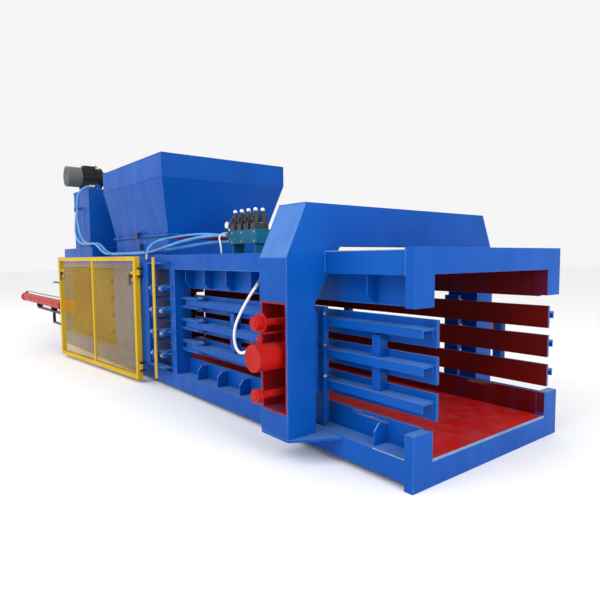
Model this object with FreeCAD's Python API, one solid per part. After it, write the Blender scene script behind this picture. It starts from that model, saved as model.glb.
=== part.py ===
import FreeCAD, Part
import math
import os

# Horizontal recycling baler. Millimetres, +Z up, +X towards the bale exit, +Y the far side.
# The origin is on the floor, midway along the machine's length and on the chamber's centre plane.
# Stations along the machine are measured from the exit plane (0) and are negative towards the tail.

V = FreeCAD.Vector
os.makedirs("parts", exist_ok=True)

# ---- driving dimensions -------------------------------------------------------------------
CHAMBER_HALF = 630.0          # inside half width between the chamber walls
WALL = 25.0                   # chamber side wall plate
RAIL_WIDTH = 140.0            # box rails beside the walls, top and bottom
RAIL_SKIN = 10.0
RAIL_IN = CHAMBER_HALF + WALL
RAIL_OUT = RAIL_IN + RAIL_WIDTH
SILL_PROUD = 5.0              # exit frame stands this far outside the rails
GROUND_GAP = 42.0             # rails above the floor
LEDGE_Z = 175.0               # top of the bottom rails
FLOOR_Z = 155.0               # top of the wear floor
LINER = 12.0                  # wear plates
LOW_WALL_Z = 320.0            # top of the low side walls
UPPER_WALL_Z = 1000.0         # foot of the upper side walls
RAIL_TOP_Z = 1320.0
CEILING_Z = RAIL_TOP_Z - 133.0
TOP_RAIL_FOOT_Z = RAIL_TOP_Z - 136.0
EXIT_TOP_Z = RAIL_TOP_Z + 15.0
EXIT_LEG_FOOT_Z = 1008.0
EXIT_DEPTH = 60.0             # thickness of both exit frames
PLATE = 12.0                  # ribs, gussets and shelves
BEAM_OVERHANG = 20.0          # side press plates past the exit plane

GANTRY_FRONT = -710.0
GANTRY_DEPTH = 279.0
GANTRY_LEG = 221.0
GANTRY_LEG_GAP = 84.0         # rails to the gantry's legs
GANTRY_HALF = RAIL_OUT + GANTRY_LEG_GAP + GANTRY_LEG
GANTRY_FOOT_Z = 160.0
GANTRY_TOP_Z = RAIL_TOP_Z + 298.0
GANTRY_CHAMFER_Y = 158.0
GANTRY_CHAMFER_Z = 335.0
GANTRY_SKIN = 20.0
PORTAL_SHOULDER_Z = 1007.0
PORTAL_TOP_Z = RAIL_TOP_Z + 37.0
PORTAL_CHAMFER_Y = 216.0
POCKET_FOOT_Z = 333.0
POCKET_TOP_Z = 1002.0

BEAM_ZS = [452.0, 657.0, 861.0]  # centre heights of the three side press beams
BEAM_PLATE_HIGH = 154.0
BEAM_PLATE = 17.0
BEAM_LINER = 8.0
BEAM_INSET = 25.0             # beams' inner face inside the chamber wall line
CHANNEL_DEPTH = 98.0
CHANNEL_HIGH = 50.0
CHANNEL_SKIN = 10.0
CHANNEL_DROP = 45.0           # channel top below the plate top
BEAM_FACE = CHAMBER_HALF - BEAM_INSET
PLATE_OUT = BEAM_FACE + BEAM_LINER + BEAM_PLATE
CHANNEL_OUT = PLATE_OUT + CHANNEL_DEPTH
HINGE_STATION = -2560.0
BEAM_REAR = -2790.0
POST_STATION = -2870.0        # front face of the hinge posts
POST_DEPTH = 90.0
HINGE_PIN_R = 20.0
PIN_CLEARANCE = 0.05
SQUEEZE_STATION = -855.0
SQUEEZE_Z = 678.0
SQUEEZE_R = 85.0
SQUEEZE_CAP_Y = GANTRY_HALF + 153.0
SQUEEZE_ROD_R = 45.0
GUIDE_ROD_R = 22.5
GUIDE_ZS = [445.0, 890.0]
GUIDE_END_Y = GANTRY_HALF + 146.0
CROSSHEAD_Y0 = CHANNEL_OUT + 22.0
CROSSHEAD_Y1 = CHANNEL_OUT - 16.0
YOKE_THICK = 40.0
YOKE_Y = CROSSHEAD_Y0 + 25.0 + YOKE_THICK
TOUCH_GAP = 0.3

TIE_STATION = -3125.0         # plane of the four wires
WIRE_ZS = [345.0, 560.0, 780.0, 995.0]
FEED_FRONT = -3395.0
FEED_REAR = -4915.0
HOPPER_FRONT = -3200.0
HOPPER_NECK_HALF = CHAMBER_HALF - 23.0
HOPPER_HALF = HOPPER_NECK_HALF + 144.0
HOPPER_FOOT_Z = RAIL_TOP_Z + 216.0
HOPPER_TOP_Z = 2335.0
HOPPER_BAND_Z = HOPPER_TOP_Z - 230.0
HOPPER_SKIN = 8.0
WALL_REAR = -4935.0

RAM_FACE = -4937.0
RAM_LENGTH = 1900.0
RAM_STROKE = 1885.0
RAM_SIDE_GAP = 10.0
RAM_TOP_Z = CEILING_Z - 37.0
CROSSHEAD = 98.0
BULKHEAD = -6990.0            # rear face of the rear bulkhead
BULKHEAD_THICK = 50.0
CYLINDER_Y = RAIL_OUT - 73.0
CYLINDER_Z = 560.0
CYLINDER_R = 75.0
CYLINDER_BORE_R = 62.5
ROD_R = 45.0
TAIL = -9850.0

X_SHIFT = -(TAIL + BEAM_OVERHANG) / 2

FRAME_OUT = RAIL_OUT + SILL_PROUD
GANTRY_REAR = GANTRY_FRONT - GANTRY_DEPTH
LEG_IN = GANTRY_HALF - GANTRY_LEG
BULKHEAD_FRONT = BULKHEAD + BULKHEAD_THICK
RAM_REAR = RAM_FACE - RAM_LENGTH


# ---- small helpers ------------------------------------------------------------------------
def box(x0, x1, y0, y1, z0, z1):
    """A block between two stations, two Y values and two heights, in any order."""
    lo = V(min(x0, x1), min(y0, y1), min(z0, z1))
    return Part.makeBox(abs(x1 - x0), abs(y1 - y0), abs(z1 - z0), lo)


def rod(start, end, radius):
    """A round bar from one point to another."""
    a, b = V(*start), V(*end)
    return Part.makeCylinder(radius, (b - a).Length, a, b - a)


def prism_x(points, x0, x1):
    """A (Y, Z) outline extruded between two stations."""
    wire = Part.makePolygon([V(x0, y, z) for y, z in points + points[:1]])
    return Part.Face(wire).extrude(V(x1 - x0, 0, 0))


def prism_y(points, y0, y1):
    """An (X, Z) outline extruded between two Y values."""
    wire = Part.makePolygon([V(x, y0, z) for x, z in points + points[:1]])
    return Part.Face(wire).extrude(V(0, y1 - y0, 0))


def prism_z(points, z0, z1):
    """An (X, Y) outline extruded between two heights."""
    wire = Part.makePolygon([V(x, y, z0) for x, y in points + points[:1]])
    return Part.Face(wire).extrude(V(0, 0, z1 - z0))


def hexagon(x, z, flats, y0, y1):
    """A hexagonal nut blank along Y."""
    r = flats / math.sqrt(3)
    pts = [(x + r * math.cos(math.radians(60 * i)), z + r * math.sin(math.radians(60 * i)))
           for i in range(6)]
    return prism_y(pts, y0, y1)


def weld(shapes):
    """Pieces that are welded or cast together: one solid, with its seams removed."""
    first, rest = shapes[0], shapes[1:]
    return (first.fuse(rest) if rest else first).removeSplitter()


def far(shape):
    """The same piece on the other side of the chamber's centre plane."""
    return shape.mirror(V(0, 0, 0), V(0, 1, 0))


def save(name, shape):
    """Write one node, moved from stations to the machine's own frame."""
    moved = shape.copy()
    moved.translate(V(X_SHIFT, 0, 0))
    moved.exportStep("parts/" + name + ".step")
    solids = moved.Solids
    volume = sum(s.Volume for s in solids)
    print("%-24s solids %2d  valid %s  litres %.2f" % (name, len(solids), moved.isValid(), volume / 1e6))


def group(shapes):
    """Separate like solids that share one node."""
    return Part.makeCompound(shapes)


def pair(near_shape):
    """A near-side piece and its mirrored twin as two solids of one node."""
    return group([near_shape, far(near_shape)])


def both_sides(name, near_shape):
    """Save a near-side piece and its mirrored twin as two nodes."""
    save(name + "_near", near_shape)
    save(name + "_far", far(near_shape))


# ---- chassis: rails, floor, bearers -------------------------------------------------------
rail = box(-EXIT_DEPTH, BULKHEAD_FRONT, -RAIL_OUT, -RAIL_IN, GROUND_GAP, LEDGE_Z).cut(
    box(-EXIT_DEPTH, BULKHEAD_FRONT, -RAIL_OUT + RAIL_SKIN, -RAIL_IN - RAIL_SKIN,
        GROUND_GAP + RAIL_SKIN, LEDGE_Z - RAIL_SKIN))
save("base_rails", pair(rail))

DECK_FOOT_Z = FLOOR_Z - LINER - 25.0
floor_pieces = [box(-EXIT_DEPTH, BULKHEAD_FRONT, -RAIL_IN, RAIL_IN, DECK_FOOT_Z, FLOOR_Z - LINER)]
FLOOR_RIB = 60.0
FLOOR_RIB_COUNT = 8
rib_pitch = (-EXIT_DEPTH - BULKHEAD_FRONT - FLOOR_RIB) / (FLOOR_RIB_COUNT - 1)
for i in range(FLOOR_RIB_COUNT):
    x = -EXIT_DEPTH - i * rib_pitch
    floor_pieces.append(box(x, x - FLOOR_RIB, -RAIL_IN, RAIL_IN, GROUND_GAP, DECK_FOOT_Z))
save("chassis_floor", weld(floor_pieces))

BEARER = 120.0
BEARER_HALF = RAIL_OUT - 115.0
bearers = []
for i in range(1, 6):
    x = -EXIT_DEPTH - i * (-EXIT_DEPTH - BULKHEAD_FRONT - BEARER) / 5
    bearers.append(box(x, x - BEARER, -BEARER_HALF, BEARER_HALF, 0, GROUND_GAP))
save("floor_bearers", group(bearers))

save("floor_liner", box(0, BULKHEAD_FRONT, -CHAMBER_HALF, CHAMBER_HALF, FLOOR_Z - LINER, FLOOR_Z))

sill = weld([
    box(0, -EXIT_DEPTH, -FRAME_OUT, FRAME_OUT, 0, FLOOR_Z - LINER),
    box(0, -EXIT_DEPTH, -FRAME_OUT, -CHAMBER_HALF, 0, LOW_WALL_Z),
    box(0, -EXIT_DEPTH, CHAMBER_HALF, FRAME_OUT, 0, LOW_WALL_Z)])
save("exit_sill", sill)

# ---- low side walls with their outside gussets ---------------------------------------------
GUSSET_OUT = 105.0
GUSSET_TOP = 15.0             # gusset top below the wall top
GUSSET_STATIONS = [-320.0, -1445.0, -1800.0, -2155.0, -2510.0]


def wall_gusset(x):
    """An upright plate on the ledge, leaning against the low wall, with a cut outer corner."""
    z1 = LOW_WALL_Z - GUSSET_TOP
    y1 = -RAIL_IN - GUSSET_OUT
    pts = [(-RAIL_IN, LEDGE_Z), (y1, LEDGE_Z), (y1, z1 - 45), (y1 + 40, z1), (-RAIL_IN, z1)]
    return prism_x(pts, x - PLATE / 2, x + PLATE / 2)


low_wall = weld([box(-EXIT_DEPTH, POST_STATION, -RAIL_IN, -CHAMBER_HALF, FLOOR_Z - LINER, LOW_WALL_Z)]
                + [wall_gusset(x) for x in GUSSET_STATIONS])
save("low_walls", pair(low_wall))


# ---- exit roof: inverted U frame, skirts, ribbed side plates --------------------------------
RIB_OUT = 85.0
DECK = 25.0


def wall_rib(x):
    """A hanging rib outside an upper side wall, with its lower corner cut."""
    y1 = -RAIL_IN - RIB_OUT
    pts = [(-RAIL_IN, UPPER_WALL_Z + 12), (y1 + 45, UPPER_WALL_Z + 12), (y1, UPPER_WALL_Z + 60),
           (y1, TOP_RAIL_FOOT_Z), (-RAIL_IN, TOP_RAIL_FOOT_Z)]
    return prism_x(pts, x - PLATE / 2, x + PLATE / 2)


def upper_wall(x0, x1, ribs):
    """The plate above the side press beams, with its outside ribs."""
    return [box(x0, x1, -RAIL_IN, -CHAMBER_HALF, UPPER_WALL_Z, RAIL_TOP_Z - DECK)] + [
        wall_rib(x) for x in ribs]


SKIRT = 20.0
ROOF_RIBS = [-400.0]
near_roof = upper_wall(-EXIT_DEPTH, GANTRY_FRONT, ROOF_RIBS) + [
    box(-EXIT_DEPTH, GANTRY_FRONT, -RAIL_OUT, -RAIL_OUT + SKIRT, TOP_RAIL_FOOT_Z, RAIL_TOP_Z - DECK),
    box(-EXIT_DEPTH, GANTRY_FRONT, -RAIL_OUT, -RAIL_IN, TOP_RAIL_FOOT_Z, TOP_RAIL_FOOT_Z + SKIRT),
    box(0, -EXIT_DEPTH, -FRAME_OUT, -CHAMBER_HALF, EXIT_LEG_FOOT_Z, CEILING_Z)]
exit_roof = weld(
    [box(-EXIT_DEPTH, GANTRY_FRONT, -RAIL_OUT, RAIL_OUT, RAIL_TOP_Z - DECK, RAIL_TOP_Z),
     box(-EXIT_DEPTH, GANTRY_FRONT, -CHAMBER_HALF, CHAMBER_HALF, CEILING_Z, CEILING_Z + LINER),
     box(0, -EXIT_DEPTH, -FRAME_OUT, FRAME_OUT, CEILING_Z, EXIT_TOP_Z)]
    + near_roof + [far(s) for s in near_roof])
save("exit_roof", exit_roof)

# ---- gantry: welded box portal that carries the squeeze cylinders ---------------------------


def portal_outline(inset):
    """The gantry's (Y, Z) outline; inset moves every side inwards by the skin's thickness."""
    lean_out = inset * (math.hypot(GANTRY_CHAMFER_Y, GANTRY_CHAMFER_Z) - GANTRY_CHAMFER_Y) / GANTRY_CHAMFER_Z
    lean_top = inset * (math.hypot(GANTRY_CHAMFER_Y, GANTRY_CHAMFER_Z) - GANTRY_CHAMFER_Z) / GANTRY_CHAMFER_Y
    portal_z = PORTAL_TOP_Z - PORTAL_SHOULDER_Z
    lean_in = inset * (math.hypot(PORTAL_CHAMFER_Y, portal_z) - PORTAL_CHAMFER_Y) / portal_z
    lean_head = inset * (math.hypot(PORTAL_CHAMFER_Y, portal_z) - portal_z) / PORTAL_CHAMFER_Y
    half = [
        (GANTRY_HALF - inset, GANTRY_FOOT_Z + inset),
        (GANTRY_HALF - inset, GANTRY_TOP_Z - GANTRY_CHAMFER_Z - lean_out),
        (GANTRY_HALF - GANTRY_CHAMFER_Y - lean_top, GANTRY_TOP_Z - inset),
    ]
    inner = [
        (LEG_IN + inset, GANTRY_FOOT_Z + inset),
        (LEG_IN + inset, PORTAL_SHOULDER_Z + lean_in),
        (LEG_IN - PORTAL_CHAMFER_Y + lean_head, PORTAL_TOP_Z + inset),
    ]
    right = half + [(-y, z) for y, z in reversed(half)]
    left = [(-y, z) for y, z in inner] + list(reversed(inner))
    return right + left


shell = prism_x(portal_outline(0.0), GANTRY_REAR, GANTRY_FRONT)
hollow = prism_x(portal_outline(GANTRY_SKIN), GANTRY_REAR + GANTRY_SKIN, GANTRY_FRONT - GANTRY_SKIN)
gantry = shell.cut(hollow)
FOOT_PLATE = 15.0
FOOT_REACH = 165.0
bore_list = []
extra = []
for side in (-1, 1):
    for z0, z1 in ((POCKET_FOOT_Z - GANTRY_SKIN, POCKET_FOOT_Z), (POCKET_TOP_Z, POCKET_TOP_Z + GANTRY_SKIN)):
        extra.append(box(GANTRY_REAR + GANTRY_SKIN, GANTRY_FRONT - GANTRY_SKIN,
                         side * (LEG_IN + GANTRY_SKIN), side * (GANTRY_HALF - GANTRY_SKIN), z0, z1))
    extra.append(prism_z([(GANTRY_REAR, side * LEG_IN), (GANTRY_REAR, side * RAIL_OUT),
                          (GANTRY_FRONT + FOOT_REACH, side * RAIL_OUT),
                          (GANTRY_FRONT, side * GANTRY_HALF), (GANTRY_FRONT, side * LEG_IN)],
                         GANTRY_FOOT_Z, GANTRY_FOOT_Z + FOOT_PLATE))
    bore_list.append(box(GANTRY_REAR + GANTRY_SKIN, GANTRY_FRONT - GANTRY_SKIN,
                         side * (GANTRY_HALF - GANTRY_SKIN - 1), side * (GANTRY_HALF + 1),
                         POCKET_FOOT_Z, POCKET_TOP_Z))
    bore_list.append(rod((SQUEEZE_STATION, side * (LEG_IN - 1), SQUEEZE_Z),
                         (SQUEEZE_STATION, side * (LEG_IN + GANTRY_SKIN + 1), SQUEEZE_Z), SQUEEZE_ROD_R + 5))
    for z in GUIDE_ZS:
        bore_list.append(rod((SQUEEZE_STATION, side * (LEG_IN - 1), z),
                             (SQUEEZE_STATION, side * (LEG_IN + GANTRY_SKIN + 1), z),
                             GUIDE_ROD_R + PIN_CLEARANCE))
GLAND_BEND = (GANTRY_REAR - 16.0, -GANTRY_HALF + 30.0, 1150.0)
GLAND_TIP = (GANTRY_REAR - 47.0, -GANTRY_HALF + 27.6, 1125.0)
GLAND_R = 16.0
extra.append(rod((GANTRY_REAR + 1, GLAND_BEND[1], GLAND_BEND[2]), GLAND_BEND, GLAND_R))
extra.append(Part.makeSphere(GLAND_R, V(*GLAND_BEND)))
extra.append(rod(GLAND_BEND, GLAND_TIP, GLAND_R))
gantry = weld([gantry] + extra).cut(group(bore_list)).removeSplitter()
save("gantry", gantry)

# ---- mid section: top rails, ribbed upper walls, deck ---------------------------------------
top_rail = box(GANTRY_REAR, BULKHEAD_FRONT, -RAIL_OUT, -RAIL_IN, TOP_RAIL_FOOT_Z, RAIL_TOP_Z).cut(
    box(GANTRY_REAR, BULKHEAD_FRONT, -RAIL_OUT + RAIL_SKIN, -RAIL_IN - RAIL_SKIN,
        TOP_RAIL_FOOT_Z + RAIL_SKIN, RAIL_TOP_Z - RAIL_SKIN))
save("top_rails", pair(top_rail))

MID_RIB_PITCH = 368.0
mid_ribs = [POST_STATION + 117.0 + i * MID_RIB_PITCH for i in range(5)]
# the portal's opening is narrower than the rails at this height, so the walls run through it
save("upper_walls", pair(weld(upper_wall(GANTRY_FRONT, POST_STATION, mid_ribs))))

deck_pieces = [box(GANTRY_FRONT, FEED_FRONT, -RAIL_IN, RAIL_IN, RAIL_TOP_Z - DECK, RAIL_TOP_Z),
               box(GANTRY_FRONT, FEED_FRONT, -CHAMBER_HALF, CHAMBER_HALF, CEILING_Z, CEILING_Z + LINER)]
DECK_RIB_PITCH = 480.0
for i in range(6):
    x = GANTRY_REAR - i * DECK_RIB_PITCH
    deck_pieces.append(box(x, x - PLATE, -CHAMBER_HALF + 5, CHAMBER_HALF - 5,
                           CEILING_Z + LINER, RAIL_TOP_Z - DECK))
save("mid_deck", weld(deck_pieces))

# ---- hinge posts with their lugs, and the side press pins ----------------------------------
LUG = 20.0
LUG_GAP = 5.0
LUG_REACH = 60.0
PIN_HEAD_R = 30.0
PIN_Y = -(PLATE_OUT + CHANNEL_DEPTH / 2)
channel_tops = [z + BEAM_PLATE_HIGH / 2 - CHANNEL_DROP for z in BEAM_ZS]


def lug(z0):
    """A round-nosed lug plate from the hinge post to past the pin."""
    y0, y1 = PIN_Y - 60.0, -RAIL_IN + 5.0
    nose = Part.makeCylinder(LUG_REACH, LUG, V(HINGE_STATION, PIN_Y, z0))
    strip = box(POST_STATION, HINGE_STATION + LUG_REACH, y0, y1, z0, z0 + LUG)
    nose_box = box(HINGE_STATION, HINGE_STATION + LUG_REACH, y0, y1, z0, z0 + LUG)
    blank = strip.cut(nose_box.cut(nose))
    return blank.cut(Part.makeCylinder(HINGE_PIN_R + PIN_CLEARANCE, LUG, V(HINGE_STATION, PIN_Y, z0)))


post = box(POST_STATION, POST_STATION - POST_DEPTH, -RAIL_OUT, -RAIL_IN, LEDGE_Z, TOP_RAIL_FOOT_Z).cut(
    box(POST_STATION - RAIL_SKIN, POST_STATION - POST_DEPTH + RAIL_SKIN, -RAIL_OUT + RAIL_SKIN,
        -RAIL_IN - RAIL_SKIN, LEDGE_Z, TOP_RAIL_FOOT_Z))
lug_feet = []
for top in channel_tops:
    lug_feet += [top + LUG_GAP, top - CHANNEL_HIGH - LUG_GAP - LUG]
save("hinge_posts", pair(weld([post] + [lug(z) for z in lug_feet])))

pins = []
for top in channel_tops:
    head = top + LUG_GAP + LUG
    foot = top - CHANNEL_HIGH - LUG_GAP - LUG - 10.0
    pins.append(weld([Part.makeCylinder(HINGE_PIN_R, head + 10.0 - foot, V(HINGE_STATION, PIN_Y, foot)),
                      Part.makeCylinder(PIN_HEAD_R, 14.0, V(HINGE_STATION, PIN_Y, head))]))
save("hinge_pins", group(pins + [far(p) for p in pins]))

# ---- side press: three beams, a crosshead and tie bars, welded together ---------------------
CROSSHEAD_FRONT = -775.0
CROSSHEAD_DEPTH = 130.0
CROSSHEAD_FOOT_Z = 190.0
CROSSHEAD_TOP_Z = 965.0
TIE_BAR = 62.0
TIE_BAR_STATIONS = [-343.0, -1980.0]


def channel(top):
    """An inverted channel welded outside a beam plate, with a bored boss for the hinge pin."""
    y0, y1 = -PLATE_OUT - CHANNEL_DEPTH, -PLATE_OUT
    outer = box(0, BEAM_REAR, y0, y1, top - CHANNEL_HIGH, top)
    inner = box(0, BEAM_REAR, y0 + CHANNEL_SKIN, y1 - CHANNEL_SKIN, top - CHANNEL_HIGH, top - CHANNEL_SKIN)
    boss = Part.makeCylinder(HINGE_PIN_R + 15.0, CHANNEL_HIGH, V(HINGE_STATION, PIN_Y, top - CHANNEL_HIGH))
    bore = Part.makeCylinder(HINGE_PIN_R + PIN_CLEARANCE, CHANNEL_HIGH,
                             V(HINGE_STATION, PIN_Y, top - CHANNEL_HIGH))
    return outer.cut(inner).fuse(boss).cut(bore)


press = []
liners = []
for z, top in zip(BEAM_ZS, channel_tops):
    z0, z1 = z - BEAM_PLATE_HIGH / 2, z + BEAM_PLATE_HIGH / 2
    press.append(box(BEAM_OVERHANG, BEAM_REAR, -PLATE_OUT, -BEAM_FACE - BEAM_LINER, z0, z1))
    press.append(channel(top))
    liners.append(box(BEAM_OVERHANG, BEAM_REAR, -BEAM_FACE - BEAM_LINER, -BEAM_FACE, z0, z1))
for x in TIE_BAR_STATIONS:
    press.append(box(x, x - TIE_BAR, -PLATE_OUT - 60.0, -PLATE_OUT, BEAM_ZS[0] - 30.0, BEAM_ZS[-1] - 40.0))
crosshead = box(CROSSHEAD_FRONT, CROSSHEAD_FRONT - CROSSHEAD_DEPTH, -CROSSHEAD_Y0, -CROSSHEAD_Y1,
                CROSSHEAD_FOOT_Z, CROSSHEAD_TOP_Z)
both_sides("side_press", weld(press + [crosshead]))
both_sides("side_press_liner", group(liners))

# ---- squeeze cylinders, their rods and thrust yokes ----------------------------------------
SQUEEZE_WALL = 10.0
SQUEEZE_FLANGE_R = 110.0
SQUEEZE_CAP = 22.0
FLANGE_Y = LEG_IN + GANTRY_SKIN
sx, sz = SQUEEZE_STATION, SQUEEZE_Z
cylinder = rod((sx, -SQUEEZE_CAP_Y, sz), (sx, -FLANGE_Y, sz), SQUEEZE_R).fuse(
    rod((sx, -FLANGE_Y - 20.0, sz), (sx, -FLANGE_Y, sz), SQUEEZE_FLANGE_R))
cylinder = cylinder.cut(rod((sx, -SQUEEZE_CAP_Y + SQUEEZE_CAP, sz), (sx, -FLANGE_Y - 55.0, sz),
                            SQUEEZE_R - SQUEEZE_WALL))
cylinder = cylinder.cut(rod((sx, -FLANGE_Y - 56.0, sz), (sx, -FLANGE_Y, sz), SQUEEZE_ROD_R + PIN_CLEARANCE))
PORT_IN = 55.0
PORT_UP = SQUEEZE_R + 24.0
port_y = -SQUEEZE_CAP_Y + PORT_IN
SQUEEZE_TIP = (sx - 80.0, port_y + 5.0, sz + 44.0)
port = rod((sx, port_y, sz + SQUEEZE_R - 12.0), (sx, port_y, sz + PORT_UP), 17.0)
port_inner = rod((sx, -FLANGE_Y - 80.0, sz + SQUEEZE_R - 12.0), (sx, -FLANGE_Y - 80.0, sz + PORT_UP), 17.0)
hose_port = rod((sx - 10.0, port_y, sz + 68.0), SQUEEZE_TIP, 13.0)
ports = port.fuse([port_inner, hose_port]).cut(
    rod((sx, -SQUEEZE_CAP_Y, sz), (sx, -FLANGE_Y, sz), SQUEEZE_R - SQUEEZE_WALL))
cylinder = weld([cylinder, ports])
both_sides("squeeze_cylinder", cylinder)

PISTON = 50.0
PISTON_Y = SQUEEZE_CAP_Y - SQUEEZE_CAP - 8.0
pad_foot = YOKE_Y - YOKE_THICK
pad_high = pad_foot - CROSSHEAD_Y0 - TOUCH_GAP
PAD_R = 55.0
dome_r = (PAD_R ** 2 + pad_high ** 2) / (2 * pad_high)
dome = Part.makeSphere(dome_r, V(sx, -(CROSSHEAD_Y0 + TOUCH_GAP) - dome_r, sz)).common(
    rod((sx, -pad_foot - 1.0, sz), (sx, -CROSSHEAD_Y0, sz), PAD_R - 1.0))
YOKE_HALF = 50.0
yoke = weld([
    box(sx - YOKE_HALF, sx + YOKE_HALF, -YOKE_Y, -YOKE_Y + YOKE_THICK,
        GUIDE_ZS[0] - 45.0, GUIDE_ZS[1] + 45.0),
    dome,
    rod((sx, -PISTON_Y, sz), (sx, -YOKE_Y, sz), SQUEEZE_ROD_R),
    rod((sx, -PISTON_Y, sz), (sx, -PISTON_Y + PISTON, sz), SQUEEZE_R - SQUEEZE_WALL - PIN_CLEARANCE)])
both_sides("squeeze_rod", yoke)

GUIDE_NUT = 80.0
GUIDE_NUT_DEEP = 42.0
guides = []
for i, z in enumerate(GUIDE_ZS):
    pieces = [rod((sx, -GUIDE_END_Y, z), (sx, -YOKE_Y, z), GUIDE_ROD_R),
              hexagon(sx, z, GUIDE_NUT, -GUIDE_END_Y + 4.0, -GUIDE_END_Y + 4.0 + GUIDE_NUT_DEEP)]
    if i == 1:
        pieces.append(rod((sx, -GUIDE_END_Y + 46.0, z), (sx, -GUIDE_END_Y + 60.0, z), 62.0))
    guides.append(weld(pieces))
both_sides("guide_rods", group(guides))

# ---- feed chamber walls, shear knife, hopper neck, hopper ------------------------------------
WIRE_SLOT_LONG = 90.0
WIRE_SLOT_HIGH = 100.0
SHELF_OUT = 100.0
shelf_zs = [(a + b) / 2 for a, b in zip(WIRE_ZS, WIRE_ZS[1:])]
feed_wall = weld([box(POST_STATION, WALL_REAR, -RAIL_IN, -CHAMBER_HALF, FLOOR_Z - LINER, RAIL_TOP_Z - DECK)]
                 + [box(POST_STATION - POST_DEPTH, FEED_FRONT, -RAIL_IN - SHELF_OUT, -RAIL_IN,
                        z - PLATE / 2, z + PLATE / 2) for z in shelf_zs])
for z in WIRE_ZS:
    feed_wall = feed_wall.cut(box(TIE_STATION - WIRE_SLOT_LONG / 2, TIE_STATION + WIRE_SLOT_LONG / 2,
                                  -RAIL_IN, -CHAMBER_HALF, z - WIRE_SLOT_HIGH / 2, z + WIRE_SLOT_HIGH / 2))
save("feed_walls", pair(feed_wall))

KNIFE = 50.0
save("shear_knife", box(FEED_FRONT, FEED_FRONT + KNIFE, -CHAMBER_HALF, CHAMBER_HALF,
                        RAM_TOP_Z + 6.0, CEILING_Z))

NECK_SKIN = 10.0
NECK_FLANGE = 12.0
FLANGE_OUT = 25.0
neck_zs = (RAIL_TOP_Z, HOPPER_FOOT_Z)
neck_outer = box(FEED_FRONT, FEED_REAR, -HOPPER_NECK_HALF, HOPPER_NECK_HALF, *neck_zs)
neck_inner = box(FEED_FRONT - NECK_SKIN, FEED_REAR + NECK_SKIN,
                 -HOPPER_NECK_HALF + NECK_SKIN, HOPPER_NECK_HALF - NECK_SKIN, *neck_zs)
BASE_OUT = 83.0
neck_base = box(FEED_FRONT + FLANGE_OUT, FEED_REAR - FLANGE_OUT,
                -HOPPER_NECK_HALF - BASE_OUT, HOPPER_NECK_HALF + BASE_OUT,
                RAIL_TOP_Z, RAIL_TOP_Z + NECK_FLANGE)
neck_flange = box(FEED_FRONT + FLANGE_OUT, FEED_REAR - FLANGE_OUT,
                  -HOPPER_NECK_HALF - FLANGE_OUT, HOPPER_NECK_HALF + FLANGE_OUT,
                  HOPPER_FOOT_Z - NECK_FLANGE, HOPPER_FOOT_Z)
save("hopper_neck", weld([neck_outer, neck_base, neck_flange]).cut(neck_inner).removeSplitter())


def hopper_shape(inset, z_low, z_high):
    """The funnel and its upright rim band; inset is the sheet's thickness for the inside."""
    def ring(x_front, half, z):
        pts = [(x_front - inset, -half + inset), (x_front - inset, half - inset),
               (FEED_REAR + inset, half - inset), (FEED_REAR + inset, -half + inset)]
        return Part.makePolygon([V(x, y, z) for x, y in pts + pts[:1]])
    funnel = Part.makeLoft([ring(FEED_FRONT, HOPPER_NECK_HALF, z_low),
                            ring(HOPPER_FRONT, HOPPER_HALF, HOPPER_BAND_Z)], True, True)
    band = box(HOPPER_FRONT - inset, FEED_REAR + inset, -HOPPER_HALF + inset, HOPPER_HALF - inset,
               HOPPER_BAND_Z, z_high)
    return funnel.fuse(band)


hopper_flange = box(FEED_FRONT + FLANGE_OUT, FEED_REAR - FLANGE_OUT,
                    -HOPPER_NECK_HALF - FLANGE_OUT, HOPPER_NECK_HALF + FLANGE_OUT,
                    HOPPER_FOOT_Z, HOPPER_FOOT_Z + NECK_FLANGE)
hopper = weld([hopper_shape(0.0, HOPPER_FOOT_Z, HOPPER_TOP_Z), hopper_flange]).cut(
    hopper_shape(HOPPER_SKIN, HOPPER_FOOT_Z, HOPPER_TOP_Z))
save("hopper", hopper.removeSplitter())

# ---- tail: deck, plinth, rear bulkhead, main cylinders --------------------------------------
PLINTH_TOP_Z = RAIL_TOP_Z + 120.0
PLINTH_FRONT = -5300.0
PLINTH_REAR = -6607.0
save("rear_deck", weld([
    box(WALL_REAR, BULKHEAD_FRONT, -RAIL_IN, RAIL_IN, RAIL_TOP_Z - DECK, RAIL_TOP_Z)]))
plinth = box(PLINTH_FRONT, PLINTH_REAR, -RAIL_OUT, RAIL_OUT, RAIL_TOP_Z, PLINTH_TOP_Z).cut(
    box(PLINTH_FRONT - PLATE, PLINTH_REAR + PLATE, -RAIL_OUT + PLATE, RAIL_OUT - PLATE,
        RAIL_TOP_Z, PLINTH_TOP_Z - PLATE))
save("tank_plinth", plinth)

save("rear_bulkhead", box(BULKHEAD, BULKHEAD_FRONT, -RAIL_OUT, RAIL_OUT, GROUND_GAP, RAIL_TOP_Z).cut(
    group([rod((BULKHEAD - 1, s * CYLINDER_Y, CYLINDER_Z), (BULKHEAD_FRONT + 1, s * CYLINDER_Y, CYLINDER_Z),
               CYLINDER_R) for s in (-1, 1)])))

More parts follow.
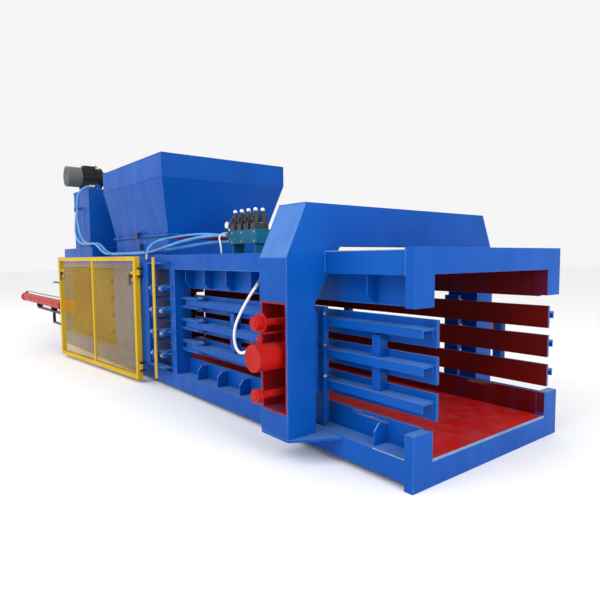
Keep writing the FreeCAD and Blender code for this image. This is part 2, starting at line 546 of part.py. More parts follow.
CYLINDER_FLANGE_R = 105.0
REAR_CAP = 45.0
GLAND = 60.0
cy, cz = -CYLINDER_Y, CYLINDER_Z
barrel = weld([
    rod((TAIL, cy, cz), (BULKHEAD_FRONT, cy, cz), CYLINDER_R),
    rod((BULKHEAD, cy, cz), (BULKHEAD - 35.0, cy, cz), CYLINDER_FLANGE_R),
    rod((TAIL, cy, cz), (TAIL + 70.0, cy, cz), CYLINDER_R + 8.0),
    rod((TAIL + 110.0, cy, cz), (TAIL + 110.0, cy, cz + CYLINDER_R + 30.0), 20.0)])
barrel = barrel.cut(rod((TAIL + REAR_CAP, cy, cz), (BULKHEAD_FRONT - GLAND, cy, cz), CYLINDER_BORE_R))
barrel = barrel.cut(rod((BULKHEAD_FRONT - GLAND - 1, cy, cz), (BULKHEAD_FRONT, cy, cz),
                        ROD_R + PIN_CLEARANCE))
save("main_cylinders", pair(barrel))

PIPE_R = 9.0
PIPE_Z = CYLINDER_Z + CYLINDER_R + 30.0 + PIPE_R
pipe = rod((TAIL + 110.0 - 14.0, cy, PIPE_Z), (BULKHEAD, cy, PIPE_Z), PIPE_R)
save("main_cylinder_pipes", pair(pipe))

SUPPORT_HIGH = 30.0
SUPPORT_Z = CYLINDER_Z - CYLINDER_R - 45.0
SUPPORT_END = -8716.0
BRACE_END = -7705.0
support_near = weld([
    box(BULKHEAD, SUPPORT_END, cy - 30.0, cy + 30.0, SUPPORT_Z - SUPPORT_HIGH, SUPPORT_Z),
    box(BULKHEAD, BRACE_END, cy - 20.0, cy + 20.0, 230.0, 255.0),
    box(BRACE_END, BRACE_END + 30.0, cy - 20.0, cy + 20.0, 230.0, SUPPORT_Z - SUPPORT_HIGH)]
    + [box(x, x + 60.0, cy - 45.0, cy + 45.0, SUPPORT_Z, CYLINDER_Z - 30.0).cut(
        rod((x - 1, cy, cz), (x + 61, cy, cz), CYLINDER_R)) for x in (SUPPORT_END, BRACE_END)])
save("cylinder_supports", pair(support_near))

ARM_Z = 905.0
stop_bracket = weld([
    box(BULKHEAD, -7600.0, cy - 15.0, cy + 15.0, ARM_Z, ARM_Z + 22.0),
    box(-7050.0, -7080.0, cy - 15.0, cy + 15.0, 800.0, 1190.0)])
save("limit_switch_bracket", stop_bracket)

# ---- press ram --------------------------------------------------------------------------------
RAM_HALF = CHAMBER_HALF - RAM_SIDE_GAP
RAM_SKIN = 25.0
RAM_FRONT = 60.0
SHOE = 19.5
WIRE_GROOVE = 60.0
WIRE_GROOVE_DEEP = RAM_FACE + RAM_STROKE - TIE_STATION + 145.0
RAM_FOOT_Z = FLOOR_Z + TOUCH_GAP + SHOE
CROSSHEAD_HALF = RAIL_OUT - 5.0
CROSSHEAD_HIGH = 200.0
ram = box(RAM_FACE, RAM_REAR, -RAM_HALF, RAM_HALF, RAM_FOOT_Z, RAM_TOP_Z).cut(
    box(RAM_FACE - RAM_FRONT, RAM_REAR + RAM_SKIN, -RAM_HALF + RAM_SKIN, RAM_HALF - RAM_SKIN,
        RAM_FOOT_Z + RAM_SKIN, RAM_TOP_Z - RAM_SKIN))
for z in WIRE_ZS:
    ram = ram.cut(box(RAM_FACE, RAM_FACE - WIRE_GROOVE_DEEP, -RAM_HALF, RAM_HALF,
                      z - WIRE_GROOVE / 2, z + WIRE_GROOVE / 2))
ram = ram.cut(box(RAM_REAR, RAM_REAR + RAM_SKIN, -200.0, 200.0, 720.0, 1050.0))
save("ram_box", ram)
save("ram_crosshead", box(RAM_REAR, RAM_REAR - CROSSHEAD, -CROSSHEAD_HALF, CROSSHEAD_HALF,
                          CYLINDER_Z - CROSSHEAD_HIGH / 2, CYLINDER_Z + CROSSHEAD_HIGH / 2))
save("ram_shoes", group([box(RAM_FACE - 20.0, RAM_REAR + 20.0, s * 460.0 - 60.0, s * 460.0 + 60.0,
                             FLOOR_Z + TOUCH_GAP, RAM_FOOT_Z) for s in (-1, 1)]))
ram_piston_x = TAIL + REAR_CAP + 60.0
piston_rod = weld([rod((ram_piston_x, cy, cz), (RAM_REAR - CROSSHEAD, cy, cz), ROD_R),
                   rod((ram_piston_x, cy, cz), (ram_piston_x + 90.0, cy, cz),
                       CYLINDER_BORE_R - PIN_CLEARANCE)])
save("piston_rods", pair(piston_rod))

# ---- hydraulic power unit on the tail deck ----------------------------------------------------
TANK_FRONT = -5670.0
TANK_LONG = 690.0
TANK_NEAR = -RAIL_OUT + 95.0
TANK_WIDE = 1200.0
TANK_TOP_Z = PLINTH_TOP_Z + 800.0
TANK_SKIN = 6.0
TANK_LID = 10.0
PORT_R = 22.0
tank_rear = TANK_FRONT - TANK_LONG
tank_far = TANK_NEAR + TANK_WIDE
RETURN_X = -6080.0
RETURN_ELBOW = (RETURN_X, TANK_NEAR - 60.0, PLINTH_TOP_Z + 570.0)
RETURN_TIP = (RETURN_X, TANK_NEAR - 60.0, PLINTH_TOP_Z + 515.0)
tank = box(TANK_FRONT, tank_rear, TANK_NEAR, tank_far, PLINTH_TOP_Z, TANK_TOP_Z).cut(
    box(TANK_FRONT - TANK_SKIN, tank_rear + TANK_SKIN, TANK_NEAR + TANK_SKIN, tank_far - TANK_SKIN,
        PLINTH_TOP_Z + TANK_SKIN, TANK_TOP_Z))
tank = weld([tank, rod((RETURN_X, TANK_NEAR + 2, RETURN_ELBOW[2]), RETURN_ELBOW, PORT_R),
             Part.makeSphere(PORT_R, V(*RETURN_ELBOW)), rod(RETURN_ELBOW, RETURN_TIP, PORT_R)])
save("oil_tank", tank)

LID_Z = TANK_TOP_Z + TANK_LID
PRESSURE_PORT = (-5760.0, TANK_NEAR + 105.0, LID_Z + 38.0)
lid = weld([
    box(TANK_FRONT + 5.0, tank_rear - 5.0, TANK_NEAR - 5.0, tank_far + 5.0, TANK_TOP_Z, LID_Z),
    box(PRESSURE_PORT[0] - 28.0, PRESSURE_PORT[0] + 28.0, PRESSURE_PORT[1] + 20.0,
        PRESSURE_PORT[1] + 76.0, LID_Z, LID_Z + 66.0),
    rod((PRESSURE_PORT[0], PRESSURE_PORT[1] + 22.0, PRESSURE_PORT[2]), PRESSURE_PORT, PORT_R),
    rod((-6250.0, 300.0, LID_Z), (-6250.0, 300.0, LID_Z + 70.0), 30.0),
    rod((-6250.0, 300.0, LID_Z + 70.0), (-6250.0, 300.0, LID_Z + 95.0), 42.0)])
save("tank_lid", lid)

MOTOR_X = -6150.0
MOTOR_Z = TANK_TOP_Z + 215.0
MOTOR_Y0 = TANK_NEAR + 10.0
MOTOR_Y1 = MOTOR_Y0 + 291.0
MOTOR_R = 122.0
MOTOR_FIN = 12.0
FIN_COUNT = 28
SHAFT_R = 20.0
COWL_R = 140.0
COWL_END_Y = MOTOR_Y0 - 164.0
COWL_SKIN = 3.0


def on_axis(y0, y1, radius):
    """A disc or bar on the motor's axis."""
    return rod((MOTOR_X, y0, MOTOR_Z), (MOTOR_X, y1, MOTOR_Z), radius)


fins = []
for i in range(FIN_COUNT):
    fin = box(MOTOR_X - 2.0, MOTOR_X + 2.0, MOTOR_Y0 + 30.0, MOTOR_Y1 - 30.0,
              MOTOR_Z + MOTOR_R - 4.0, MOTOR_Z + MOTOR_R + MOTOR_FIN)
    fin.rotate(V(MOTOR_X, 0, MOTOR_Z), V(0, 1, 0), 360.0 * i / FIN_COUNT)
    fins.append(fin)
motor = weld([
    on_axis(MOTOR_Y0, MOTOR_Y1, MOTOR_R),
    on_axis(MOTOR_Y0, MOTOR_Y0 + 25.0, COWL_R - COWL_SKIN - 0.5),
    on_axis(MOTOR_Y1 - 25.0, MOTOR_Y1, MOTOR_R + MOTOR_FIN),
    on_axis(MOTOR_Y1, MOTOR_Y1 + 19.0, MOTOR_R + 28.0),
    box(MOTOR_X - 60.0, MOTOR_X + 60.0, MOTOR_Y0 + 60.0, MOTOR_Y1 - 60.0, MOTOR_Z + 90.0, MOTOR_Z + 165.0),
    box(MOTOR_X - 110.0, MOTOR_X - 60.0, MOTOR_Y0 + 40.0, MOTOR_Y1 - 40.0, LID_Z, MOTOR_Z - 60.0),
    box(MOTOR_X + 60.0, MOTOR_X + 110.0, MOTOR_Y0 + 40.0, MOTOR_Y1 - 40.0, LID_Z, MOTOR_Z - 60.0),
    box(MOTOR_X - 150.0, MOTOR_X + 150.0, MOTOR_Y0 + 40.0, MOTOR_Y1 - 40.0, LID_Z, LID_Z + 18.0)] + fins)
motor = motor.cut(on_axis(MOTOR_Y0 + 20.0, MOTOR_Y1 - 20.0, 95.0))
motor = motor.cut(on_axis(MOTOR_Y0 - 1.0, MOTOR_Y1 + 20.0, SHAFT_R + PIN_CLEARANCE))
EYE_R = 22.0
eye_z = MOTOR_Z + MOTOR_R + MOTOR_FIN + EYE_R
eye = Part.makeTorus(EYE_R, 6.0, V(MOTOR_X, MOTOR_Y1 - 42.0, eye_z), V(1, 0, 0))
save("motor_housing", weld([motor, eye]))

cowl = on_axis(COWL_END_Y, MOTOR_Y0 + 25.0, COWL_R).cut(
    on_axis(COWL_END_Y + COWL_SKIN, MOTOR_Y0 + 25.0, COWL_R - COWL_SKIN))
for ring_r, count, hole_r in ((38.0, 6, 12.0), (72.0, 12, 13.0), (106.0, 18, 13.0)):
    for i in range(count):
        a = 2 * math.pi * i / count
        x, z = MOTOR_X + ring_r * math.cos(a), MOTOR_Z + ring_r * math.sin(a)
        cowl = cowl.cut(rod((x, COWL_END_Y - 1, z), (x, COWL_END_Y + COWL_SKIN + 1, z), hole_r))
save("motor_cowl", cowl)

FAN_Y = COWL_END_Y + 44.0
COUPLING_Y = MOTOR_Y1 + 54.0
fan = [on_axis(FAN_Y, FAN_Y + 65.0, 34.0)]
for i in range(8):
    blade = box(MOTOR_X - 3.0, MOTOR_X + 3.0, FAN_Y + 10.0, FAN_Y + 60.0, MOTOR_Z + 30.0, MOTOR_Z + 118.0)
    blade.rotate(V(MOTOR_X, 0, MOTOR_Z), V(0, 1, 0), 45.0 * i)
    fan.append(blade)
save("motor_rotor", weld(fan + [on_axis(FAN_Y, COUPLING_Y + 50.0, SHAFT_R),
                                on_axis(MOTOR_Y0 + 40.0, MOTOR_Y1 - 41.0, 94.0),
                                on_axis(COUPLING_Y, COUPLING_Y + 50.0, 42.0)]))

PUMP_Y = MOTOR_Y1 + 144.0
pump = weld([on_axis(MOTOR_Y1 + 19.0, PUMP_Y, 100.0), on_axis(PUMP_Y, PUMP_Y + 20.0, 92.0),
             on_axis(PUMP_Y + 20.0, PUMP_Y + 145.0, 74.0),
             rod((MOTOR_X, PUMP_Y + 90.0, LID_Z), (MOTOR_X, PUMP_Y + 90.0, MOTOR_Z), 28.0)])
save("hydraulic_pump", pump.cut(on_axis(MOTOR_Y1 + 19.0, PUMP_Y - 15.0, 62.0)))

# ---- valve manifold on the mid deck ---------------------------------------------------------
MANIFOLD_REAR = -2510.0
MANIFOLD_FRONT = -2043.0
MANIFOLD_NEAR = -RAIL_OUT + 380.0
MANIFOLD_FAR = MANIFOLD_NEAR + 160.0
MANIFOLD_FOOT_Z = RAIL_TOP_Z + 94.0
MANIFOLD_TOP_Z = MANIFOLD_FOOT_Z + 122.0
MANIFOLD_PORTS = [(MANIFOLD_NEAR + 20.0, MANIFOLD_TOP_Z - 36.0),
                  (MANIFOLD_NEAR + 63.0, MANIFOLD_TOP_Z - 94.0),
                  (MANIFOLD_NEAR + 115.0, MANIFOLD_TOP_Z - 36.0)]
PILOT_TIP = (MANIFOLD_REAR + 24.0, MANIFOLD_NEAR - 16.0, MANIFOLD_TOP_Z - 20.0)
PORT_LONG = 30.0
manifold = [box(MANIFOLD_REAR, MANIFOLD_FRONT, MANIFOLD_NEAR, MANIFOLD_FAR, MANIFOLD_FOOT_Z, MANIFOLD_TOP_Z)]
for x in (MANIFOLD_REAR + 40.0, MANIFOLD_FRONT - 60.0):
    manifold.append(box(x, x + 20.0, MANIFOLD_NEAR + 20.0, MANIFOLD_FAR - 20.0, RAIL_TOP_Z, MANIFOLD_FOOT_Z))
for y, z in MANIFOLD_PORTS:
    manifold.append(rod((MANIFOLD_REAR + 1, y, z), (MANIFOLD_REAR - PORT_LONG, y, z), PORT_R - 2))
manifold.append(rod((PILOT_TIP[0], MANIFOLD_NEAR + 1, PILOT_TIP[2]), PILOT_TIP, 10.0))
save("valve_manifold", weld(manifold))

VALVE_COUNT = 4
VALVE_PITCH = 112.0
valves = []
for i in range(VALVE_COUNT):
    x = MANIFOLD_REAR + 66.0 + i * VALVE_PITCH
    valve = [box(x - 38.0, x + 38.0, MANIFOLD_NEAR + 8.0, MANIFOLD_FAR - 8.0,
                 MANIFOLD_TOP_Z, MANIFOLD_TOP_Z + 54.0)]
    for y in (MANIFOLD_NEAR + 42.0, MANIFOLD_FAR - 42.0):
        valve += [rod((x, y, MANIFOLD_TOP_Z + 54.0), (x, y, MANIFOLD_TOP_Z + 140.0), 27.0),
                  rod((x, y, MANIFOLD_TOP_Z + 140.0), (x, y, MANIFOLD_TOP_Z + 166.0), 15.0)]
    valves.append(weld(valve))
save("solenoid_valves", group(valves))

# ---- wire tying column with its four brackets ------------------------------------------------
COLUMN_X0 = -3640.0
COLUMN_X1 = -3300.0
COLUMN_OUT = RAIL_OUT + 85.0
COLUMN_FOOT_Z = 215.0
COLUMN_TOP_Z = RAIL_TOP_Z - 70.0
SHELF_FRONT = -2960.0
SHELF_CORNER = 40.0
column = [box(COLUMN_X0, COLUMN_X1, -COLUMN_OUT, -RAIL_OUT, COLUMN_FOOT_Z, COLUMN_TOP_Z).cut(
    box(COLUMN_X0 + 8, COLUMN_X1 - 8, -COLUMN_OUT + 8, -RAIL_OUT, COLUMN_FOOT_Z + 15.0, COLUMN_TOP_Z - 15.0))]
for z in (COLUMN_FOOT_Z, COLUMN_TOP_Z - 15.0):
    shelf = box(COLUMN_X1 - 10.0, SHELF_FRONT, -COLUMN_OUT, -RAIL_OUT, z, z + 15.0)
    corner = box(SHELF_FRONT - SHELF_CORNER, SHELF_FRONT, -COLUMN_OUT, -COLUMN_OUT + SHELF_CORNER,
                 z, z + 15.0)
    round_corner = Part.makeCylinder(SHELF_CORNER, 15.0,
                                     V(SHELF_FRONT - SHELF_CORNER, -COLUMN_OUT + SHELF_CORNER, z))
    column.append(shelf.cut(corner.cut(round_corner)))
TIE_TIP = (-3414.0, -COLUMN_OUT + 42.0, COLUMN_TOP_Z + 30.0)
column.append(rod((TIE_TIP[0], TIE_TIP[1], COLUMN_TOP_Z - 1), TIE_TIP, 16.0))
column.append(rod((TIE_TIP[0], TIE_TIP[1], COLUMN_TOP_Z - 1),
                  (TIE_TIP[0], TIE_TIP[1], COLUMN_TOP_Z + 12.0), 24.0))
save("tie_column", weld(column))

ARM_HIGH = 50.0
ARM_Y0 = -COLUMN_OUT + 18.0
ARM_Y1 = ARM_Y0 + 32.0
ARM_FRONT = -2975.0
GUIDE_TUBE_R = 22.0
brackets = []
for z in WIRE_ZS:
    arm = prism_y([(COLUMN_X1, z + ARM_HIGH / 2), (ARM_FRONT, z + ARM_HIGH / 2),
                   (ARM_FRONT, z - ARM_HIGH / 2 + 12),
                   (ARM_FRONT - 40.0, z - ARM_HIGH / 2), (TIE_STATION + 30.0, z - ARM_HIGH / 2),
                   (TIE_STATION, z - 5.0), (TIE_STATION - 30.0, z - ARM_HIGH / 2),
                   (COLUMN_X1 + 110.0, z - ARM_HIGH / 2), (COLUMN_X1, z - 90.0)], ARM_Y0, ARM_Y1)
    pieces = [arm]
    for x in (TIE_STATION - 109.0, TIE_STATION + 126.0):
        pieces.append(rod((x, ARM_Y0 - 20.0, z + 4.0), (x, ARM_Y1 + 60.0, z + 4.0), 17.0))
        pieces.append(rod((x, ARM_Y0 - 8.0, z + 4.0), (x, ARM_Y0, z + 4.0), 28.0))
    tube = rod((TIE_STATION, ARM_Y1, z + 10.0), (TIE_STATION, -RAIL_IN, z + 10.0), GUIDE_TUBE_R)
    plate = box(TIE_STATION - 60.0, TIE_STATION + 60.0, -RAIL_IN, -RAIL_IN - 10.0, z - 62.0, z + 62.0).cut(
        box(TIE_STATION - 40.0, TIE_STATION + 40.0, -RAIL_IN, -RAIL_IN - 10.0, z - 45.0, z - 14.0))
    pieces += [tube.cut(rod((TIE_STATION, ARM_Y1, z + 10.0), (TIE_STATION, -RAIL_IN, z + 10.0), 9.0)),
               plate.cut(rod((TIE_STATION, -RAIL_IN - 10, z + 10.0), (TIE_STATION, -RAIL_IN, z + 10.0), 9.0))]
    brackets.append(weld(pieces))
save("wire_brackets", group(brackets))

TIE_POST_FOOT_Z = 100.0
TIE_POST_TOP_Z = RAIL_TOP_Z - 20.0
save("tie_guard_post", box(TIE_STATION - 42.0, TIE_STATION + 2.0, -COLUMN_OUT - 12.0, -COLUMN_OUT,
                           TIE_POST_FOOT_Z, TIE_POST_TOP_Z))

# ---- hinged mesh guard, standing a little open -----------------------------------------------
GUARD_HINGE = (-3430.0, -COLUMN_OUT - 45.0)
GUARD_OPEN_DEG = 4.85
GUARD_LONG = 2186.0
GUARD_HALF_THICK = 26.0
GUARD_FOOT_Z = 42.0
GUARD_TOP_Z = RAIL_TOP_Z - 10.0
STILE = 45.0
STILE_START = 24.0
MULLION = 34.0
MESH_THICK = 3.0
HINGE_ZS = [150.0, 1120.0]
KNUCKLE_R = 18.0
KNUCKLE_HIGH = 56.0
DOOR_PIN_R = 10.0
LATCH_Z = 1110.0
LATCH_IN = 62.0
LATCH_SHAFT_R = 9.0
hx, hy = GUARD_HINGE


def door(shape):
    """Turn a piece drawn with the guard shut to the angle at which it stands."""
    turned = shape.copy()
    turned.rotate(V(hx, hy, 0), V(0, 0, 1), GUARD_OPEN_DEG)
    return turned


def door_box(u0, u1, v0, v1, z0, z1):
    """A block on the shut door: u is the distance from the hinge, v is outwards-negative."""
    return box(hx - u0, hx - u1, hy + v0, hy + v1, z0, z1)


def door_rod(u, v0, v1, z, radius):
    """A bar square to the shut door."""
    return rod((hx - u, hy + v0, z), (hx - u, hy + v1, z), radius)


t = GUARD_HALF_THICK
door_end = STILE_START + GUARD_LONG
mullion_mid = STILE_START + GUARD_LONG / 2
latch_us = [STILE_START + STILE + LATCH_IN, door_end - STILE - LATCH_IN]
frame = [
    door_box(STILE_START, STILE_START + STILE, -t, t, GUARD_FOOT_Z, GUARD_TOP_Z),
    door_box(door_end - STILE, door_end, -t, t, GUARD_FOOT_Z, GUARD_TOP_Z),
    door_box(STILE_START, door_end, -t, t, GUARD_FOOT_Z, GUARD_FOOT_Z + STILE),
    door_box(STILE_START, door_end, -t, t, GUARD_TOP_Z - STILE, GUARD_TOP_Z),
    door_box(mullion_mid - MULLION / 2, mullion_mid + MULLION / 2, -t, -MESH_THICK,
             GUARD_FOOT_Z, GUARD_TOP_Z)]
for z in HINGE_ZS:
    frame.append(Part.makeCylinder(KNUCKLE_R, KNUCKLE_HIGH, V(hx, hy, z)))
    frame.append(door_box(0, STILE_START + 5, -8.0, 8.0, z, z + KNUCKLE_HIGH))
for u, edge in zip(latch_us, (STILE_START + STILE - 5, door_end - STILE + 5)):
    frame.append(door_box(min(u - 32, edge), max(u + 32, edge), -10.0, -6.0, LATCH_Z - 55.0, LATCH_Z + 45.0))
guard_frame = weld(frame)
for z in HINGE_ZS:
    guard_frame = guard_frame.cut(Part.makeCylinder(DOOR_PIN_R + PIN_CLEARANCE, KNUCKLE_HIGH, V(hx, hy, z)))
for u in latch_us:
    guard_frame = guard_frame.cut(door_rod(u, -11.0, -5.0, LATCH_Z, LATCH_SHAFT_R + PIN_CLEARANCE))
save("guard_frame", door(guard_frame))

mesh_z0, mesh_z1 = GUARD_FOOT_Z + STILE, GUARD_TOP_Z - STILE
guard_mesh = door_box(STILE_START + STILE, door_end - STILE, -MESH_THICK, 0, mesh_z0, mesh_z1)
for u in latch_us:
    guard_mesh = guard_mesh.cut(door_rod(u, -MESH_THICK - 1, 1, LATCH_Z, LATCH_SHAFT_R + 3.0))
save("guard_mesh", door(guard_mesh))

hinge_brackets = []
for z in HINGE_ZS:
    pieces = [Part.makeCylinder(DOOR_PIN_R, KNUCKLE_HIGH + 2 * 22.0, V(hx, hy, z - 22.0))]
    for foot in (z - 20.0 - 1.0, z + KNUCKLE_HIGH + 1.0):
        pieces.append(Part.makeCylinder(KNUCKLE_R, 20.0, V(hx, hy, foot)))
        pieces.append(box(hx - 14.0, hx + 14.0, hy, -COLUMN_OUT, foot, foot + 20.0))
    hinge_brackets.append(weld(pieces))
save("guard_hinges", group(hinge_brackets))

for name, u in zip(("guard_latch_front", "guard_latch_rear"), latch_us):
    latch = weld([
        door_rod(u, -26.0, 14.0, LATCH_Z, LATCH_SHAFT_R),
        door_rod(u, -40.0, -10.5, LATCH_Z, 20.0),
        door_box(u - 12.0, u + 12.0, -40.0, -t - 2.0, LATCH_Z - 92.0, LATCH_Z),
        door_box(u - 14.0, u + 14.0, 8.0, 14.0, LATCH_Z - 55.0, LATCH_Z + 12.0)])
    save(name, door(latch))

# ---- level sensors on the hopper --------------------------------------------------------------
save("level_sensors", group([
    box(-4130.0, -4075.0, -HOPPER_NECK_HALF - 35.0, -HOPPER_NECK_HALF,
        RAIL_TOP_Z + 70.0, RAIL_TOP_Z + 140.0),
    box(-4130.0, -4075.0, -HOPPER_NECK_HALF - FLANGE_OUT - 40.0, -HOPPER_NECK_HALF - FLANGE_OUT,
        HOPPER_FOOT_Z - 20.0, HOPPER_FOOT_Z + 50.0)]))

# ---- hoses, each held at both ends --------------------------------------------------------------


def hose(name, points, diameter):
    """A hose as straight runs joined by tangent arcs through the corners of its route."""
    pts = [V(*p) for p in points]
    edges, radii = [], []
    start = pts[0]
    for before, corner, after in zip(pts, pts[1:], pts[2:]):
        a, b = (before - corner), (after - corner)
        turn = math.pi - a.getAngle(b)
        radius = 0.45 * min(a.Length, b.Length) / math.tan(turn / 2)
        trim = radius * math.tan(turn / 2)
        a.normalize()
        b.normalize()
        p0, p1 = corner + a * trim, corner + b * trim
        bisector = (a + b).normalize()
        middle = corner + bisector * (radius / math.cos(turn / 2) - radius)
        edges.append(Part.LineSegment(start, p0).toShape())
        edges.append(Part.Arc(p0, middle, p1).toShape())
        radii.append(radius)
        start = p1
    edges.append(Part.LineSegment(start, pts[-1]).toShape())
    path = Part.Wire(edges)
    direction = pts[1] - pts[0]
    circle = Part.Wire(Part.makeCircle(diameter / 2, pts[0], direction))
    tube = path.makePipeShell([circle], True, False)
    save(name, tube)
    wanted = math.pi * diameter ** 2 / 4 * path.Length
    print("   radii", [round(r) for r in radii])
    print("   length %.0f  tightest %.0f of %.0f  runs %.0f to %.0f  volume ratio %.4f" % (
        path.Length, min(radii), diameter, min((p - q).Length for p, q in zip(pts, pts[1:])),
        max((p - q).Length for p, q in zip(pts, pts[1:])), tube.Volume / wanted))


def manifold_port(i):
    """The open end of one of the manifold's rear ports."""
    return (MANIFOLD_REAR - PORT_LONG, MANIFOLD_PORTS[i][0], MANIFOLD_PORTS[i][1])


def on_rails(points):
    """Route points given as station, distance inside the near rail's face, height above its top."""
    return [(x, -RAIL_OUT + y, RAIL_TOP_Z + z) for x, y, z in points]


def by_gantry(points):
    """Route points given as distance behind the gantry, distance inside its near side, height."""
    return [(GANTRY_REAR + x, -GANTRY_HALF + y, z) for x, y, z in points]


hose("hose_pressure", [PRESSURE_PORT] + on_rails([
    (-5760, 128, 968), (-5764, 62, 941), (-5771, 11, 890), (-5780, -18, 823), (-5795, -26, 720),
    (-5822, -24, 580), (-5828, -16, 440), (-5795, -2, 320), (-5715, 10, 232), (-5600, 20, 180),
    (-5460, 27, 170), (-5320, 35, 176), (-5200, 45, 132), (-5090, 53, 70), (-4950, 60, 32),
    (-4700, 67, 22), (-4300, 55, 24), (-3900, 73, 22), (-3600, 79, 32), (-3330, 105, 76),
    (-3090, 170, 130), (-2900, 265, 168), (-2765, 347, 182), (-2645, 400, 180)])
    + [manifold_port(0)], 32.0)
hose("hose_return", [RETURN_TIP] + on_rails([
    (-6080, 35, 550), (-6072, 23, 460), (-6045, 11, 370), (-5990, 5, 285), (-5905, 7, 220),
    (-5795, 25, 180), (-5650, 53, 164), (-5480, 75, 168), (-5330, 89, 178), (-5205, 99, 132),
    (-5095, 107, 68), (-4950, 115, 36), (-4700, 119, 32), (-4300, 113, 33), (-3900, 123, 32),
    (-3600, 123, 38), (-3350, 145, 54), (-3130, 235, 80), (-2920, 340, 112), (-2760, 420, 124),
    (-2650, 443, 122)]) + [manifold_port(1)], 32.0)
hose("hose_tie_unit", [manifold_port(2)] + on_rails([
    (-2640, 495, 180), (-2770, 465, 192), (-2930, 400, 208), (-3080, 305, 206), (-3205, 190, 186),
    (-3298, 89, 164), (-3358, 21, 134), (-3395.6, -22, 86), (-3414, -43, 26)]) + [TIE_TIP], 24.0)
hose("hose_squeeze", [GLAND_TIP] + by_gantry([
    (-113, 22.5, 1071.7), (-191, 14, 985), (-245, 4, 912), (-285, -6, 842), (-293, -16, 780),
    (-277, -26, 726), (-241, -36, 684), (-185, -49, 662), (-117, -65, 666)])
    + [(sx - 151.0, port_y + 10.0, sz + 20.0), SQUEEZE_TIP], 20.0)
hose("hose_pilot", [PILOT_TIP] + on_rails([
    (-2486, 319, 196), (-2476, 277, 178), (-2454, 251, 146), (-2424, 245, 104), (-2408, 245, 48),
    (-2408, 245, 0)]), 14.0)
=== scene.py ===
import math

import bmesh
import bpy
from mathutils import Matrix, Vector


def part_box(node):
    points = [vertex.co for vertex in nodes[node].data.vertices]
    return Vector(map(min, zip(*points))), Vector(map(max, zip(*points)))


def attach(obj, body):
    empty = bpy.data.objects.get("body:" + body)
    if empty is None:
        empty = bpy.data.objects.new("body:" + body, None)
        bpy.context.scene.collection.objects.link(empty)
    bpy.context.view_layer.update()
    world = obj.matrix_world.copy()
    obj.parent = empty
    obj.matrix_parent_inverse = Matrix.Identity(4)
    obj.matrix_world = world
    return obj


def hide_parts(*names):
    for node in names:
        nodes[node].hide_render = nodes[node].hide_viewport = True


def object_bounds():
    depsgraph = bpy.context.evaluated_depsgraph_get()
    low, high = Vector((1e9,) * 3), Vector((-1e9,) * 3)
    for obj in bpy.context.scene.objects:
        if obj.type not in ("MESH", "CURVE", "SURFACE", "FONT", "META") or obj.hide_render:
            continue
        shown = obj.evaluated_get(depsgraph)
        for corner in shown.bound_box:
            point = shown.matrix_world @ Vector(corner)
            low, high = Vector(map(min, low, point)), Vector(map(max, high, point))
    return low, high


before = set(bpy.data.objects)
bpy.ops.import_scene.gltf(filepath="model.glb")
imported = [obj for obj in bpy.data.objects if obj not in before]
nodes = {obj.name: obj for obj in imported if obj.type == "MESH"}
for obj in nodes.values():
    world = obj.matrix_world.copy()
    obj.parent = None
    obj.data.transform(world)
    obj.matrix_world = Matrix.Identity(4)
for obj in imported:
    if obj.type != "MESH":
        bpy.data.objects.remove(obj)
cad_low, cad_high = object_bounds()

# ---- hoses -----------------------------------------------------------------------------------
# Five hydraulic hoses, steel-braided rubber with a smooth cover, crimped into fittings at both
# ends. Each lies between two ports of the machine and sags under its own weight.
EXIT_PLANE = cad_high.x - 0.02        # stations count back from here
RAIL_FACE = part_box("base_rails")[0].y
RAIL_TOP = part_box("top_rails")[1].z


def new_shader(name, roughness):
    """A node material with a Principled surface and its Object coordinates."""
    material = bpy.data.materials.new(name)
    material.use_nodes = True
    tree = material.node_tree
    surface = tree.nodes["Principled BSDF"]
    surface.inputs["Roughness"].default_value = roughness
    place = tree.nodes.new("ShaderNodeTexCoord").outputs["Object"]
    return material, tree, surface, place


def noise(tree, place, scale, detail=3.0, stretch=(1, 1, 1)):
    """A noise value over the surface; stretch squeezes the pattern along an axis."""
    mapping = tree.nodes.new("ShaderNodeMapping")
    mapping.inputs["Scale"].default_value = stretch
    tree.links.new(place, mapping.inputs["Vector"])
    texture = tree.nodes.new("ShaderNodeTexNoise")
    texture.inputs["Scale"].default_value = scale
    texture.inputs["Detail"].default_value = detail
    tree.links.new(mapping.outputs["Vector"], texture.inputs["Vector"])
    return texture.outputs["Fac"]


def spread(tree, value, low, high, to_low=0.0, to_high=1.0):
    """Maps a value's low..high range to another range, clamped."""
    node = tree.nodes.new("ShaderNodeMapRange")
    for socket, number in zip(node.inputs[1:5], (low, high, to_low, to_high)):
        socket.default_value = number
    tree.links.new(value, node.inputs["Value"])
    return node.outputs["Result"]


def mixed(tree, factor, first, second):
    """Mixes two colours; each is a colour or another node's output."""
    node = tree.nodes.new("ShaderNodeMix")
    node.data_type = "RGBA"
    tree.links.new(factor, node.inputs["Factor"])
    for socket, colour in ((node.inputs[6], first), (node.inputs[7], second)):
        if isinstance(colour, bpy.types.NodeSocket):
            tree.links.new(colour, socket)
        else:
            socket.default_value = (*colour, 1.0)
    return node.outputs[2]


def bumped(tree, surface, height, distance, strength=0.5):
    """A height value as bump on the surface."""
    node = tree.nodes.new("ShaderNodeBump")
    node.inputs["Distance"].default_value = distance
    node.inputs["Strength"].default_value = strength
    tree.links.new(height, node.inputs["Height"])
    tree.links.new(node.outputs["Normal"], surface.inputs["Normal"])


